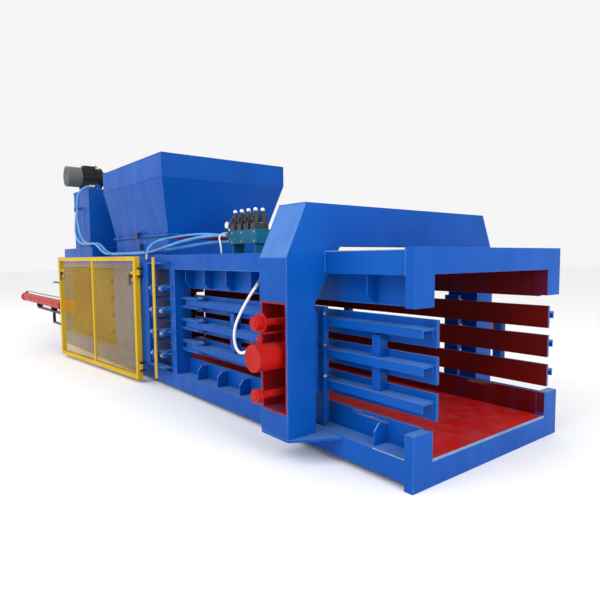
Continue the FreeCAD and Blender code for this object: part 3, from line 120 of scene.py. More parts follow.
def hose_cover(name, colour, shade, roughness):
    """Rubber hose cover: slightly mottled, dusty in places, with a faint wrapped texture."""
    material, tree, surface, place = new_shader(name, roughness)
    blotch = spread(tree, noise(tree, place, 7.0), 0.35, 0.7)
    tree.links.new(mixed(tree, blotch, colour, shade), surface.inputs["Base Color"])
    tree.links.new(spread(tree, noise(tree, place, 60.0), 0.3, 0.7, roughness - 0.1, roughness + 0.15),
                   surface.inputs["Roughness"])
    bumped(tree, surface, noise(tree, place, 900.0), 0.0004)
    return material


def steel_finish(name, colour, roughness):
    """Plated or turned steel: bright, with fine turning marks and oily patches."""
    material, tree, surface, place = new_shader(name, roughness)
    surface.inputs["Metallic"].default_value = 1.0
    oil = spread(tree, noise(tree, place, 22.0), 0.4, 0.65)
    dull = tuple(0.45 * c for c in colour)
    tree.links.new(mixed(tree, oil, colour, dull), surface.inputs["Base Color"])
    tree.links.new(spread(tree, noise(tree, place, 160.0), 0.3, 0.7, roughness - 0.08, roughness + 0.15),
                   surface.inputs["Roughness"])
    bumped(tree, surface, noise(tree, place, 700.0, stretch=(1, 1, 6)), 0.0003, 0.35)
    return material


def smooth_piece(name, mesh, material, angle=35.0):
    """A finished mesh as an object at the origin, smooth except at real edges."""
    piece = bpy.data.objects.new(name, mesh)
    bpy.context.scene.collection.objects.link(piece)
    mesh.materials.clear()
    mesh.materials.append(material)
    mesh.shade_smooth()
    mesh.set_sharp_from_angle(angle=math.radians(angle))
    return piece


def turned(start, end, rings, sides=28):
    """Vertices and faces of a piece turned about start-end; rings are (share of length, radius)."""
    start, end = Vector(start), Vector(end)
    axis = (end - start).normalized()
    side = axis.orthogonal().normalized()
    up = axis.cross(side)
    vertices, faces = [], []
    for share, radius in rings:
        centre = start.lerp(end, share)
        for i in range(sides):
            a = 2 * math.pi * i / sides
            vertices.append(centre + radius * (math.cos(a) * side + math.sin(a) * up))
    for r in range(len(rings) - 1):
        for i in range(sides):
            j = (i + 1) % sides
            faces.append((r * sides + i, r * sides + j, (r + 1) * sides + j, (r + 1) * sides + i))
    faces.append(tuple(reversed(range(sides))))
    faces.append(tuple((len(rings) - 1) * sides + i for i in range(sides)))
    return vertices, faces


def joined_mesh(name, parts):
    """One mesh from several (vertices, faces) lists."""
    vertices, faces = [], []
    for more_vertices, more_faces in parts:
        first = len(vertices)
        vertices += more_vertices
        faces += [tuple(first + i for i in face) for face in more_faces]
    mesh = bpy.data.meshes.new(name)
    mesh.from_pydata([tuple(v) for v in vertices], [], faces)
    mesh.validate()
    return mesh


fitting_steel = steel_finish("plated_fitting", (0.72, 0.72, 0.70), 0.3)


def crimp(end, inward, radius):
    """A crimped ferrule and its hexagon nut at a hose end; inward points along the hose."""
    end, inward = Vector(end), Vector(inward).normalized()
    long = 4.2 * radius
    sleeve = [(0, radius * 0.9), (0.02, radius * 1.34), (0.25, radius * 1.34), (0.28, radius * 1.22),
              (0.34, radius * 1.22), (0.37, radius * 1.34), (0.62, radius * 1.34), (0.65, radius * 1.22),
              (0.72, radius * 1.22), (0.75, radius * 1.30), (0.97, radius * 1.26), (1, radius * 0.98)]
    nut = [(0, radius * 1.2), (0.06, radius * 1.5), (0.94, radius * 1.5), (1, radius * 1.2)]
    return [turned(end + inward * 0.9 * radius, end + inward * long, sleeve),
            turned(end, end + inward * 1.1 * radius, nut, 6)]


def tube(name, points, radius, roundness, steps):
    """The curve of a round tube along its route's control points."""
    curve = bpy.data.curves.new(name, "CURVE")
    curve.dimensions = "3D"
    curve.bevel_depth = radius
    curve.bevel_resolution = roundness
    curve.use_fill_caps = True
    spline = curve.splines.new("NURBS")
    spline.points.add(len(points) - 1)
    for point, place in zip(spline.points, points):
        point.co = (*place, 1.0)
    spline.order_u = 3
    spline.use_endpoint_u = True
    spline.resolution_u = steps
    return curve


def hose(name, node, points, diameter, material):
    """A hose along its route's control points, with a crimped fitting at each end."""
    curve = tube(name, points, diameter / 2, 5, 10)
    curve.materials.append(material)
    piece = bpy.data.objects.new(name, curve)
    bpy.context.scene.collection.objects.link(piece)
    ends = [Vector(points[0]), Vector(points[1]), Vector(points[-2]), Vector(points[-1])]
    crimps = joined_mesh(name + "_fittings", crimp(ends[0], ends[1] - ends[0], diameter / 2)
                         + crimp(ends[3], ends[2] - ends[3], diameter / 2))
    fittings = smooth_piece(name + "_fittings", crimps, fitting_steel)
    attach(piece, "machine")
    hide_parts(node)
    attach(fittings, "machine")


def on_rails(points):
    """Route points in millimetres: station, distance inside the near rail's face, height above it."""
    return [(EXIT_PLANE + x / 1000, RAIL_FACE + y / 1000, RAIL_TOP + z / 1000) for x, y, z in points]


blue_cover = hose_cover("blue_hose_cover", (0.10, 0.33, 0.68), (0.05, 0.20, 0.48), 0.34)
white_cover = hose_cover("white_hose_cover", (0.82, 0.82, 0.79), (0.62, 0.62, 0.58), 0.45)
hose("hose_pressure_cover", "hose_pressure", on_rails([
    (-5760, 200, 968), (-5760, 128, 968), (-5764, 62, 941), (-5771, 11, 890), (-5780, -18, 823),
    (-5795, -26, 720), (-5822, -24, 580), (-5828, -16, 440), (-5795, -2, 320), (-5715, 10, 232),
    (-5600, 20, 180), (-5460, 27, 170), (-5320, 35, 176), (-5200, 45, 132), (-5090, 53, 70),
    (-4950, 60, 32), (-4700, 67, 22), (-4300, 55, 24), (-3900, 73, 22), (-3600, 79, 32),
    (-3330, 105, 76), (-3090, 170, 130), (-2900, 265, 168), (-2765, 347, 182), (-2645, 400, 180),
    (-2540, 400, 180)]), 0.032, blue_cover)
hose("hose_return_cover", "hose_return", on_rails([
    (-6080, 35, 635), (-6080, 35, 550), (-6072, 23, 460), (-6045, 11, 370), (-5990, 5, 285),
    (-5905, 7, 220), (-5795, 25, 180), (-5650, 53, 164), (-5480, 75, 168), (-5330, 89, 178),
    (-5205, 99, 132), (-5095, 107, 68), (-4950, 115, 36), (-4700, 119, 32), (-4300, 113, 33),
    (-3900, 123, 32), (-3600, 123, 38), (-3350, 145, 54), (-3130, 235, 80), (-2920, 340, 112),
    (-2760, 420, 124), (-2650, 443, 122), (-2540, 443, 122)]), 0.032, blue_cover)
hose("hose_tie_unit_cover", "hose_tie_unit", on_rails([
    (-2540, 495, 180), (-2640, 495, 180), (-2770, 465, 192), (-2930, 400, 208), (-3080, 305, 206),
    (-3205, 190, 186), (-3298, 89, 164), (-3358, 21, 134), (-3395.6, -22, 86), (-3414, -43, 26),
    (-3414, -43, -40)]), 0.024, blue_cover)
hose("hose_pilot_cover", "hose_pilot", on_rails([
    (-2486, 364, 196), (-2486, 319, 196), (-2476, 277, 178), (-2454, 251, 146), (-2424, 245, 104),
    (-2408, 245, 48), (-2408, 245, 0)]), 0.014, white_cover)
GANTRY_BACK = EXIT_PLANE - 0.989
GANTRY_SIDE = -1.1
hose("hose_squeeze_cover", "hose_squeeze", [
    (GANTRY_BACK + x / 1000, GANTRY_SIDE + y / 1000, z / 1000) for x, y, z in (
        (-47, 27.6, 1125), (-113, 22.5, 1071.7), (-191, 14, 985), (-245, 4, 912), (-285, -6, 842),
        (-293, -16, 780), (-277, -26, 726), (-241, -36, 684), (-185, -49, 662), (-117, -65, 666),
        (-17, -88, 698), (54, -93, 722))], 0.020, white_cover)

# ---- camera, light and floor -------------------------------------------------------------------
# A plain pale studio floor and soft area lamps: the key stands high on the near side, with a fill
# before the exit. The camera stands off the exit's near corner at chest height.
camera = bpy.data.objects.new("camera", bpy.data.cameras.new("camera"))
camera.data.lens = 31.5
camera.data.sensor_width = 36.0
YAW, PITCH, ROLL = math.radians(141.4), math.radians(4.56), math.radians(-0.46)
level = Vector((math.cos(YAW), math.sin(YAW), 0))
sideways = Vector((math.sin(YAW), -math.cos(YAW), 0))
upright = Vector((0, 0, 1))
ahead = level * math.cos(PITCH) - upright * math.sin(PITCH)
tipped = upright * math.cos(PITCH) + level * math.sin(PITCH)
right = sideways * math.cos(ROLL) + tipped * math.sin(ROLL)
above = tipped * math.cos(ROLL) - sideways * math.sin(ROLL)
camera.matrix_world = Matrix((right, above, -ahead)).transposed().to_4x4()
camera.location = (EXIT_PLANE + 1.766, -2.975, 1.280)
bpy.context.scene.collection.objects.link(camera)
bpy.context.scene.camera = camera

floor_mesh = bpy.data.meshes.new("studio_floor")
floor_mesh.from_pydata([(-60, -60, -0.001), (60, -60, -0.001), (60, 60, -0.001), (-60, 60, -0.001)],
                       [], [(0, 1, 2, 3)])
studio_floor = bpy.data.objects.new("studio_floor", floor_mesh)
bpy.context.scene.collection.objects.link(studio_floor)
floor_material, _, floor_surface, _ = new_shader("pale_floor", 0.85)
floor_surface.inputs["Base Color"].default_value = (0.93, 0.93, 0.93, 1.0)
floor_mesh.materials.append(floor_material)


def lamp(name, place, aim, size, watts):
    """A square soft lamp aimed at a point."""
    data = bpy.data.lights.new(name, "AREA")
    data.shape = "SQUARE"
    data.size = size
    data.energy = watts
    piece = bpy.data.objects.new(name, data)
    piece.location = place
    piece.rotation_euler = (Vector(aim) - Vector(place)).to_track_quat("-Z", "Y").to_euler()
    bpy.context.scene.collection.objects.link(piece)


lamp("key_lamp", (3.5, -9.5, 8.5), (1.5, 0.0, 0.8), 6.0, 540)
lamp("exit_lamp", (12.5, -1.5, 5.0), (4.5, 0.0, 0.8), 5.0, 430)
lamp("tail_lamp", (-6.0, -8.0, 6.0), (-2.5, 0.0, 1.2), 5.0, 170)
world = bpy.data.worlds.new("studio")
world.use_nodes = True
world.node_tree.nodes["Background"].inputs["Color"].default_value = (1.0, 1.0, 1.0, 1.0)
world.node_tree.nodes["Background"].inputs["Strength"].default_value = 0.92
bpy.context.scene.world = world
bpy.context.scene.view_settings.view_transform = "Standard"

# ---- painted steelwork ---------------------------------------------------------------------------
# Chassis, walls, gantry, decks and hopper: welded mild steel plate, sprayed with blue gloss
# enamel outside and red inside. Edges are rubbed bright and carry a painted highlight, and dust
# lies on upward faces, which are also lighter from sun fading and painted sky light. The red
# inside is darkened, partly by grime and partly by painted shade.


def calculate(tree, operation, first, second=None):
    """A maths node; each value is a number or another node's output."""
    node = tree.nodes.new("ShaderNodeMath")
    node.operation = operation
    for socket, value in zip(node.inputs, (first, second)):
        if isinstance(value, bpy.types.NodeSocket):
            tree.links.new(value, socket)
        elif value is not None:
            socket.default_value = value
    return node.outputs["Value"]


def edge_wear_and_highlight_group():
    """Where an edge or corner is rubbed bright and carries a painted highlight: compares a rounded normal
    with the true one.
    """
    tree = bpy.data.node_groups.new("worn_edge", "ShaderNodeTree")
    for socket_name, start in (("Radius", 0.006), ("Scale", 30.0), ("Amount", 1.0)):
        socket = tree.interface.new_socket(socket_name, in_out="INPUT", socket_type="NodeSocketFloat")
        socket.default_value = start
    tree.interface.new_socket("Mask", in_out="OUTPUT", socket_type="NodeSocketFloat")
    inlet = tree.nodes.new("NodeGroupInput")
    outlet = tree.nodes.new("NodeGroupOutput")
    rounded = tree.nodes.new("ShaderNodeBevel")
    rounded.samples = 4
    tree.links.new(inlet.outputs["Radius"], rounded.inputs["Radius"])
    true_normal = tree.nodes.new("ShaderNodeNewGeometry").outputs["Normal"]
    dot = tree.nodes.new("ShaderNodeVectorMath")
    dot.operation = "DOT_PRODUCT"
    tree.links.new(rounded.outputs["Normal"], dot.inputs[0])
    tree.links.new(true_normal, dot.inputs[1])
    edge = spread(tree, dot.outputs["Value"], 0.985, 0.90)
    place = tree.nodes.new("ShaderNodeTexCoord").outputs["Object"]
    patchy = tree.nodes.new("ShaderNodeTexNoise")
    patchy.inputs["Detail"].default_value = 4.0
    tree.links.new(place, patchy.inputs["Vector"])
    tree.links.new(inlet.outputs["Scale"], patchy.inputs["Scale"])
    patches = spread(tree, patchy.outputs["Fac"], 0.38, 0.56)
    mask = calculate(tree, "MULTIPLY", calculate(tree, "MULTIPLY", edge, patches), inlet.outputs["Amount"])
    tree.links.new(mask, outlet.inputs["Mask"])
    return tree


def paint_tone_group():
    """Slow change of a sprayed coat over plate: blotches, runs down the sheet, settled dust, and
    upward faces lighter from sun fading and painted sky light.
    """
    tree = bpy.data.node_groups.new("paint_tone", "ShaderNodeTree")
    socket = tree.interface.new_socket("Scale", in_out="INPUT", socket_type="NodeSocketFloat")
    socket.default_value = 1.0
    for socket_name in ("Tone", "Runs", "Dust", "Peel", "Faded_and_skylit"):
        tree.interface.new_socket(socket_name, in_out="OUTPUT", socket_type="NodeSocketFloat")
    inlet = tree.nodes.new("NodeGroupInput")
    outlet = tree.nodes.new("NodeGroupOutput")
    place = tree.nodes.new("ShaderNodeTexCoord").outputs["Object"]
    scaled = tree.nodes.new("ShaderNodeVectorMath")
    scaled.operation = "SCALE"
    tree.links.new(place, scaled.inputs[0])
    tree.links.new(inlet.outputs["Scale"], scaled.inputs["Scale"])
    place = scaled.outputs["Vector"]
    tree.links.new(spread(tree, noise(tree, place, 1.7, 4.0), 0.3, 0.7), outlet.inputs["Tone"])
    tree.links.new(spread(tree, noise(tree, place, 9.0, 3.0, (1, 1, 0.12)), 0.42, 0.72),
                   outlet.inputs["Runs"])
    tree.links.new(noise(tree, place, 55.0, 2.0), outlet.inputs["Peel"])
    facing = tree.nodes.new("ShaderNodeSeparateXYZ")
    tree.links.new(tree.nodes.new("ShaderNodeNewGeometry").outputs["Normal"], facing.inputs["Vector"])
    # Upward faces grow lighter: partly sun fading, partly painted sky light.
    tree.links.new(spread(tree, facing.outputs["Z"], 0.2, 0.5, 0.0, 0.34), outlet.inputs["Faded_and_skylit"])
    level_share = spread(tree, facing.outputs["Z"], 0.4, 0.95)
    patches = spread(tree, noise(tree, place, 6.0, 5.0), 0.35, 0.75)
    tree.links.new(calculate(tree, "MULTIPLY", level_share, patches), outlet.inputs["Dust"])
    return tree


worn_edge = edge_wear_and_highlight_group()
paint_tone = paint_tone_group()


def place_group(tree, group, **values):
    """A node group placed in a material with its own values."""
    node = tree.nodes.new("ShaderNodeGroup")
    node.node_tree = group
    for socket_name, number in values.items():
        node.inputs[socket_name].default_value = number
    return node


OPEN = 99        # a side of a box that has no limit


def within(tree, place, low, high):
    """1 inside a box that is mirrored about the chamber's centre plane, else 0."""
    split = tree.nodes.new("ShaderNodeSeparateXYZ")
    tree.links.new(place, split.inputs["Vector"])
    values = (split.outputs["X"], calculate(tree, "ABSOLUTE", split.outputs["Y"]), split.outputs["Z"])
    mask = None
    for value, edges in zip(values, zip(low, high)):
        for operation, edge in zip(("GREATER_THAN", "LESS_THAN"), edges):
            if abs(edge) == OPEN:
                continue
            test = calculate(tree, operation, value, edge)
            mask = test if mask is None else calculate(tree, "MULTIPLY", mask, test)
    return mask


# The default lining red is darkened: partly grime, partly painted shade inside the chamber.
def enamel(name, colour, shade, bright, rough=0.34, inside=None, scratch=None, wear=0.5, scale=1.0,
           lining=((0.15, 0.004, 0.003), (0.07, 0.003, 0.003)), faded_and_skylit=None, dusty_share=0.28):
    """Gloss enamel over plate. inside gives (low, high) boxes where the coat is the red lining; the
    default lining is a darkened red, partly grime and partly painted shade inside the chamber;
    faded_and_skylit is the colour that faces turned to the sky go towards, partly sun bleaching and
    partly painted sky light; wear sets the rubbed edges, which also carry a painted highlight;
    scratch gives an amount and the (low, high) box that is rubbed through to rusty plate."""
    material, tree, surface, place = new_shader(name, rough)
    tone = place_group(tree, paint_tone, Scale=scale)
    # Edge mask: partly real rubbed paint, partly a painted highlight along each edge.
    edges = place_group(tree, worn_edge, Radius=0.003, Scale=26.0, Amount=wear)
    coat = mixed(tree, tone.outputs["Tone"], colour, shade)
    dusty = tuple(0.75 * c + 0.25 * g for c, g in zip(colour, DUST_GREY))
    # Upward faces move towards the lighter colour: partly sun bleaching, partly painted sky light.
    if faded_and_skylit:
        coat = mixed(tree, tone.outputs["Faded_and_skylit"], coat, faded_and_skylit)
    # Inside boxes take the lining red; the default lining is darkened, partly grime and partly painted shade.
    for low, high in inside or ():
        red = mixed(tree, tone.outputs["Tone"], *lining)
        coat = mixed(tree, within(tree, place, low, high), coat, red)
    runs = calculate(tree, "MULTIPLY", tone.outputs["Runs"], 0.16)
    coat = mixed(tree, runs, coat, tuple(0.55 * c for c in colour))
    dust = calculate(tree, "MULTIPLY", tone.outputs["Dust"], dusty_share)
    coat = mixed(tree, dust, coat, dusty)
    if scratch:
        amount, low, high = scratch
        streaks = spread(tree, noise(tree, place, 14.0, 8.0, (0.35, 3.0, 3.0)), 0.66 - amount, 0.70)
        rubbed = calculate(tree, "MULTIPLY", streaks, within(tree, place, low, high))
        coat = mixed(tree, rubbed, coat, RUSTY_PLATE)
    # Edges go to the bright colour: rubbed paint and painted highlight.
    coat = mixed(tree, edges.outputs["Mask"], coat, bright)
    tree.links.new(coat, surface.inputs["Base Color"])
    tree.links.new(spread(tree, tone.outputs["Runs"], 0, 1, rough, rough + 0.16), surface.inputs["Roughness"])
    surface.inputs["Specular IOR Level"].default_value = 0.12
    surface.inputs["Coat Weight"].default_value = 0.01
    surface.inputs["Coat Roughness"].default_value = 0.12
    bumped(tree, surface, tone.outputs["Peel"], 0.0009, 0.35)
    return material


RUSTY_PLATE, DUST_GREY = (0.30, 0.22, 0.17), (0.42, 0.43, 0.45)
# The _BRIGHT colours are edge colours: rubbed paint and painted highlight.
BLUE, BLUE_SHADE, BLUE_BRIGHT = (0.0015, 0.084, 0.41), (0.001, 0.062, 0.32), (0.10, 0.30, 0.66)
# Colour of upward faces: sun fading and painted sky light.
SKYLIT_FADED_BLUE = (0.22, 0.44, 0.80)
RED, RED_SHADE, RED_BRIGHT = (0.46, 0.008, 0.006), (0.36, 0.006, 0.005), (0.62, 0.10, 0.07)


def coat_nodes(material, *names):
    """Gives CAD nodes their finish."""
    for node_name in names:
        slots = nodes[node_name].material_slots
        slots[0].link = "OBJECT"
        slots[0].material = material


def blue_coat(name, **changes):
    """The machine's blue enamel, with changes for one group of pieces."""
    return enamel(name, BLUE, BLUE_SHADE, BLUE_BRIGHT, faded_and_skylit=SKYLIT_FADED_BLUE, **changes)


CHAMBER_FACE, EXIT_LEG_FACE, SILL_TOP, YOKE_FACE = 0.6305, 0.6555, 0.1755, 0.8155
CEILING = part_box("mid_deck")[0].z + 0.0005
LOWEST, HIGHEST = (-OPEN, -OPEN, -OPEN), (OPEN, OPEN, OPEN)
blue_enamel = blue_coat("blue_enamel")
coat_nodes(blue_enamel, "base_rails", "chassis_floor", "floor_bearers", "hinge_posts", "top_rails",
           "rear_deck", "tank_plinth", "rear_bulkhead", "tie_column", "wire_brackets", "hopper",
           "oil_tank", "tank_lid", "side_press_near", "side_press_far")
SCRATCH_LOW, SCRATCH_HIGH = (EXIT_PLANE - 0.62, 0.60, 0.29), (EXIT_PLANE - 0.30, 0.70, 0.33)
# Wall, sill, deck and neck insides take the default darkened lining red: partly grime, partly painted shade.
coat_nodes(blue_coat("wall_enamel", scratch=(0.22, SCRATCH_LOW, SCRATCH_HIGH),
                     inside=[(LOWEST, (OPEN, CHAMBER_FACE, OPEN))]),
           "low_walls", "upper_walls", "feed_walls")
coat_nodes(blue_coat("sill_enamel", wear=0.9,
                     inside=[((-OPEN, -OPEN, SILL_TOP), (EXIT_PLANE - 0.001, EXIT_LEG_FACE, OPEN))]),
           "exit_sill")
coat_nodes(blue_coat("deck_enamel", inside=[(LOWEST, (OPEN, CHAMBER_FACE, CEILING))]),
           "mid_deck", "exit_roof")
POCKET_LOW, POCKET_HIGH = (GANTRY_BACK + 0.009, 0.88, 0.322), (GANTRY_BACK + 0.27, OPEN, 1.013)
coat_nodes(blue_coat("gantry_enamel", lining=((0.34, 0.006, 0.005), (0.24, 0.005, 0.004)),
                     inside=[(POCKET_LOW, POCKET_HIGH)]), "gantry")
neck_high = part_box("hopper_neck")[1]
coat_nodes(blue_coat("neck_enamel", inside=[((neck_high.x - 0.026, -OPEN, neck_high.z - 0.05),
                                             (OPEN, 0.58, neck_high.z - 0.012))]), "hopper_neck")
red_enamel = enamel("red_enamel", RED, RED_SHADE, RED_BRIGHT)
coat_nodes(red_enamel, "squeeze_cylinder_near", "squeeze_cylinder_far", "guide_rods_near",
           "guide_rods_far", "main_cylinders")
coat_nodes(enamel("rod_enamel", BLUE, BLUE_SHADE, BLUE_BRIGHT, lining=(RED, RED_SHADE),
                  inside=[((-OPEN, YOKE_FACE, -OPEN), HIGHEST)]), "squeeze_rod_near", "squeeze_rod_far")
# Floor liner and crosshead: the bright red is partly rubbed paint and partly painted light on the floor; the
# liner's pale front face is a painted highlight along its edge.
LINER_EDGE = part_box("floor_liner")[1].x - 0.0008
coat_nodes(enamel("rubbed_red", (0.24, 0.36, 0.50), (0.12, 0.22, 0.38), RED_BRIGHT, rough=0.42,
                  dusty_share=0.03, lining=((0.72, 0.008, 0.005), (0.50, 0.006, 0.004)),
                  inside=[(LOWEST, (LINER_EDGE, OPEN, OPEN))]), "floor_liner", "ram_crosshead")
# Dark red on the side press liners and ram box: grime and oil, and painted shade inside the chamber.
coat_nodes(enamel("grimy_red", (0.15, 0.004, 0.003), (0.07, 0.003, 0.003), (0.30, 0.04, 0.03), rough=0.45),
           "side_press_liner_near", "side_press_liner_far", "ram_box")
coat_nodes(enamel("black_enamel", (0.02, 0.02, 0.023), (0.012, 0.012, 0.014), (0.25, 0.25, 0.26)),
           "cylinder_supports", "limit_switch_bracket", "guard_hinges")
coat_nodes(enamel("yellow_enamel", (0.62, 0.40, 0.006), (0.52, 0.32, 0.006), (0.75, 0.60, 0.22)),
           "guard_frame", "tie_guard_post")
coat_nodes(enamel("teal_enamel", (0.005, 0.13, 0.22), (0.004, 0.09, 0.15), (0.22, 0.38, 0.44)),
           "valve_manifold")
coat_nodes(enamel("motor_enamel", (0.022, 0.023, 0.025), (0.014, 0.015, 0.017), (0.22, 0.22, 0.23)),
           "motor_housing", "motor_rotor", "hydraulic_pump")
coat_nodes(enamel("cowl_enamel", (0.13, 0.135, 0.14), (0.08, 0.085, 0.09), (0.42, 0.42, 0.42)),
           "motor_cowl")
worn_steel = steel_finish("worn_steel", (0.30, 0.29, 0.28), 0.42)
coat_nodes(worn_steel, "hinge_pins", "shear_knife", "ram_shoes", "main_cylinder_pipes")
coat_nodes(steel_finish("chromed_rod", (0.82, 0.82, 0.83), 0.12), "piston_rods")


def moulded(name, colour, shade):
    """Moulded plastic: fine grain, slightly scuffed."""
    material, tree, surface, place = new_shader(name, 0.5)
    tree.links.new(mixed(tree, spread(tree, noise(tree, place, 12.0), 0.4, 0.7), colour, shade),
                   surface.inputs["Base Color"])
    tree.links.new(spread(tree, noise(tree, place, 45.0), 0.3, 0.7, 0.38, 0.62), surface.inputs["Roughness"])
    bumped(tree, surface, noise(tree, place, 1200.0), 0.0003)
    return material


black_moulding = moulded("black_moulding", (0.018, 0.018, 0.02), (0.035, 0.035, 0.038))
coat_nodes(moulded("navy_moulding", (0.006, 0.022, 0.11), (0.010, 0.040, 0.17)), "level_sensors")
coat_nodes(black_moulding, "solenoid_valves", "guard_latch_front", "guard_latch_rear")

# ---- weld beads ------------------------------------------------------------------------------------
# Hand-laid fillet beads where plates meet, with the ripple of each pass, painted over with the
# plate. They are laid along the seams of the gantry, exit frames, rails, beams and hopper.


def new_tree(name, inputs):
    """A Geometry Nodes tree and its inlet; inputs are (name, kind) or (name, kind, first value)."""
    tree = bpy.data.node_groups.new(name, "GeometryNodeTree")
    tree.interface.new_socket("Geometry", in_out="INPUT", socket_type="NodeSocketGeometry")
    for socket_name, kind, *start in inputs:
        socket = tree.interface.new_socket(socket_name, in_out="INPUT", socket_type="NodeSocket" + kind)
        if start:
            socket.default_value = start[0]
    tree.interface.new_socket("Geometry", in_out="OUTPUT", socket_type="NodeSocketGeometry")
    return tree, tree.nodes.new("NodeGroupInput")


def finished_tree(tree, geometry, material):
    """Ends a tree: instances are made real and the material is set."""
    plain = tree.nodes.new("GeometryNodeRealizeInstances")
    tree.links.new(geometry, plain.inputs["Geometry"])
    coated = tree.nodes.new("GeometryNodeSetMaterial")
    coated.inputs["Material"].default_value = material
    tree.links.new(plain.outputs["Geometry"], coated.inputs["Geometry"])
    tree.links.new(coated.outputs["Geometry"], tree.nodes.new("NodeGroupOutput").inputs["Geometry"])
    return tree


def weld_tree(material):
    """Follows the edges of a seam drawing with a rippled round bead."""
    tree, inlet = new_tree("weld_bead", (("Ripple pitch", "Float", 0.008), ("Bead radius", "Float", 0.005),
                                         ("Unevenness", "Float", 0.3), ("Seed", "Int", 3)))
    seams = tree.nodes.new("GeometryNodeMeshToCurve")
    tree.links.new(inlet.outputs["Geometry"], seams.inputs["Mesh"])
    passes = tree.nodes.new("GeometryNodeResampleCurve")
    passes.mode = "LENGTH"
    tree.links.new(seams.outputs["Curve"], passes.inputs["Curve"])
    tree.links.new(inlet.outputs["Ripple pitch"], passes.inputs["Length"])
    ripple = tree.nodes.new("FunctionNodeRandomValue")
    ripple.data_type = "FLOAT"
    tree.links.new(calculate(tree, "SUBTRACT", 1.0, inlet.outputs["Unevenness"]), ripple.inputs[2])
    ripple.inputs[3].default_value = 1.0
    tree.links.new(inlet.outputs["Seed"], ripple.inputs["Seed"])
    profile = tree.nodes.new("GeometryNodeCurvePrimitiveCircle")
    profile.inputs["Resolution"].default_value = 6
    tree.links.new(inlet.outputs["Bead radius"], profile.inputs["Radius"])
    bead = tree.nodes.new("GeometryNodeCurveToMesh")
    bead.inputs["Fill Caps"].default_value = True
    tree.links.new(passes.outputs["Curve"], bead.inputs["Curve"])
    tree.links.new(profile.outputs["Curve"], bead.inputs["Profile Curve"])
    tree.links.new(ripple.outputs[1], bead.inputs["Scale"])
    return finished_tree(tree, bead.outputs["Mesh"], material)


def made_plain(name, drawing, tree, body, slot, **values):
    """Runs a drawing mesh through a Geometry Nodes tree and keeps the result as a plain mesh."""
    draft = bpy.data.objects.new(name + "_draft", drawing)
    bpy.context.scene.collection.objects.link(draft)
    modifier = draft.modifiers.new("make", "NODES")
    modifier.node_group = tree
    for socket in tree.interface.items_tree:
        key = socket.name.replace(" ", "_")
        if socket.in_out == "INPUT" and key in values:
            modifier[socket.identifier] = values[key]
    bpy.context.view_layer.update()
    evaluated = draft.evaluated_get(bpy.context.evaluated_depsgraph_get())
    mesh = bpy.data.meshes.new_from_object(evaluated)
    draft.modifiers.clear()
    bpy.data.objects.remove(draft)
    piece = bpy.data.objects.new(name, mesh)
    bpy.context.scene.collection.objects.link(piece)
    mesh.shade_smooth()
    mesh.set_sharp_from_angle(angle=math.radians(40))
    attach(piece, body)
    return piece


def at(x, y, z):
    """A point given as station, Y and height in millimetres."""
    return (EXIT_PLANE + x / 1000, y / 1000, z / 1000)


def seam_drawing(name, seams):
    """Seams as chains of points, given as station, Y and height in millimetres."""
    points, edges = [], []
    for seam in seams:
        first = len(points)
        points += [at(*place) for place in seam]
        edges += [(first + i, first + i + 1) for i in range(len(seam) - 1)]
    mesh = bpy.data.meshes.new(name)
    mesh.from_pydata(points, edges, [])
    return mesh


def both(seams):
    """The near side's seams and the same on the far side."""
    return seams + [[(x, -y, z) for x, y, z in seam] for seam in seams]


def beads(name, seams, tree, radius, body="machine"):
    """Weld beads along seams, as one piece."""
    made_plain(name, seam_drawing(name + "_seams", seams), tree, body, "blue_paint", Bead_radius=radius)


bead_paint = enamel("bead_enamel", (0.012, 0.12, 0.44), (0.006, 0.08, 0.34), (0.14, 0.34, 0.66), rough=0.28)
bead_tree = weld_tree(bead_paint)
# Pale beads along the floor's front edge, the exit skirt's top and a low edge by the exit: partly rubbed to
# bare metal, partly a painted highlight where light catches them.
bare_and_highlit_bead = enamel("rubbed_bead", (0.24, 0.34, 0.46), (0.10, 0.22, 0.42), (0.6, 0.64, 0.68), rough=0.3)
bare_and_highlit_bead_tree = weld_tree(bare_and_highlit_bead)
bare_and_highlit_bead_tree.name = "rubbed_weld_bead"
beads("rubbed_weld_beads", [
    [(-3, -628, 155.5), (-3, 628, 155.5)], [(-64, -796, 1321), (-708, -796, 1321)],
    [(-62, -796, 176), (-300, -796, 176)]], bare_and_highlit_bead_tree, 0.0038)
exit_seams = both([
    [(-709, -797, 1190), (-709, -797, 1318)],
    [(-62, -800, 1184), (-62, -800, 1334)], [(-58, -655, 1006), (-708, -655, 1002)],
    [(-60, -655, 321), (-708, -655, 321)]]) + [[(-61, -790, 1322), (-61, 790, 1322)]]
beads("exit_weld_beads", exit_seams, bead_tree, 0.005)
gantry_seams = both([
    [(-711, -879, 177), (-711, -1100, 177), (-988, -1100, 177)],
    [(-711, -1099, 178), (-711, -1099, 1283)], [(-988, -1099, 178), (-988, -1099, 1283)],
    [(-712, -1099, 1283), (-988, -1099, 1283)], [(-712, -942, 1617), (-988, -942, 1617)],
    [(-708, -797, 177), (-546, -797, 177)]])
beads("gantry_weld_beads", gantry_seams, bead_tree, 0.004)
RIB_STATIONS = (-320, -1445, -1800, -2155, -2510)
rail_seams = both(
    [[(-990, -797, 1185), (-2870, -797, 1185)], [(-712, -657, 176), (-2868, -657, 176)]]
    + [[(x - 8, -657, 178), (x - 8, -657, 300)] for x in RIB_STATIONS]
    + [[(x - 8, -657, 177), (x - 8, -758, 177)] for x in RIB_STATIONS]
    + [[(-2753 + i * 368 - 8, -657, 1014), (-2753 + i * 368 - 8, -657, 1182)] for i in range(5)]
    + [[(-2869, -797, 178), (-2869, -797, 1182)], [(-2961, -797, 178), (-2961, -797, 1182)]])
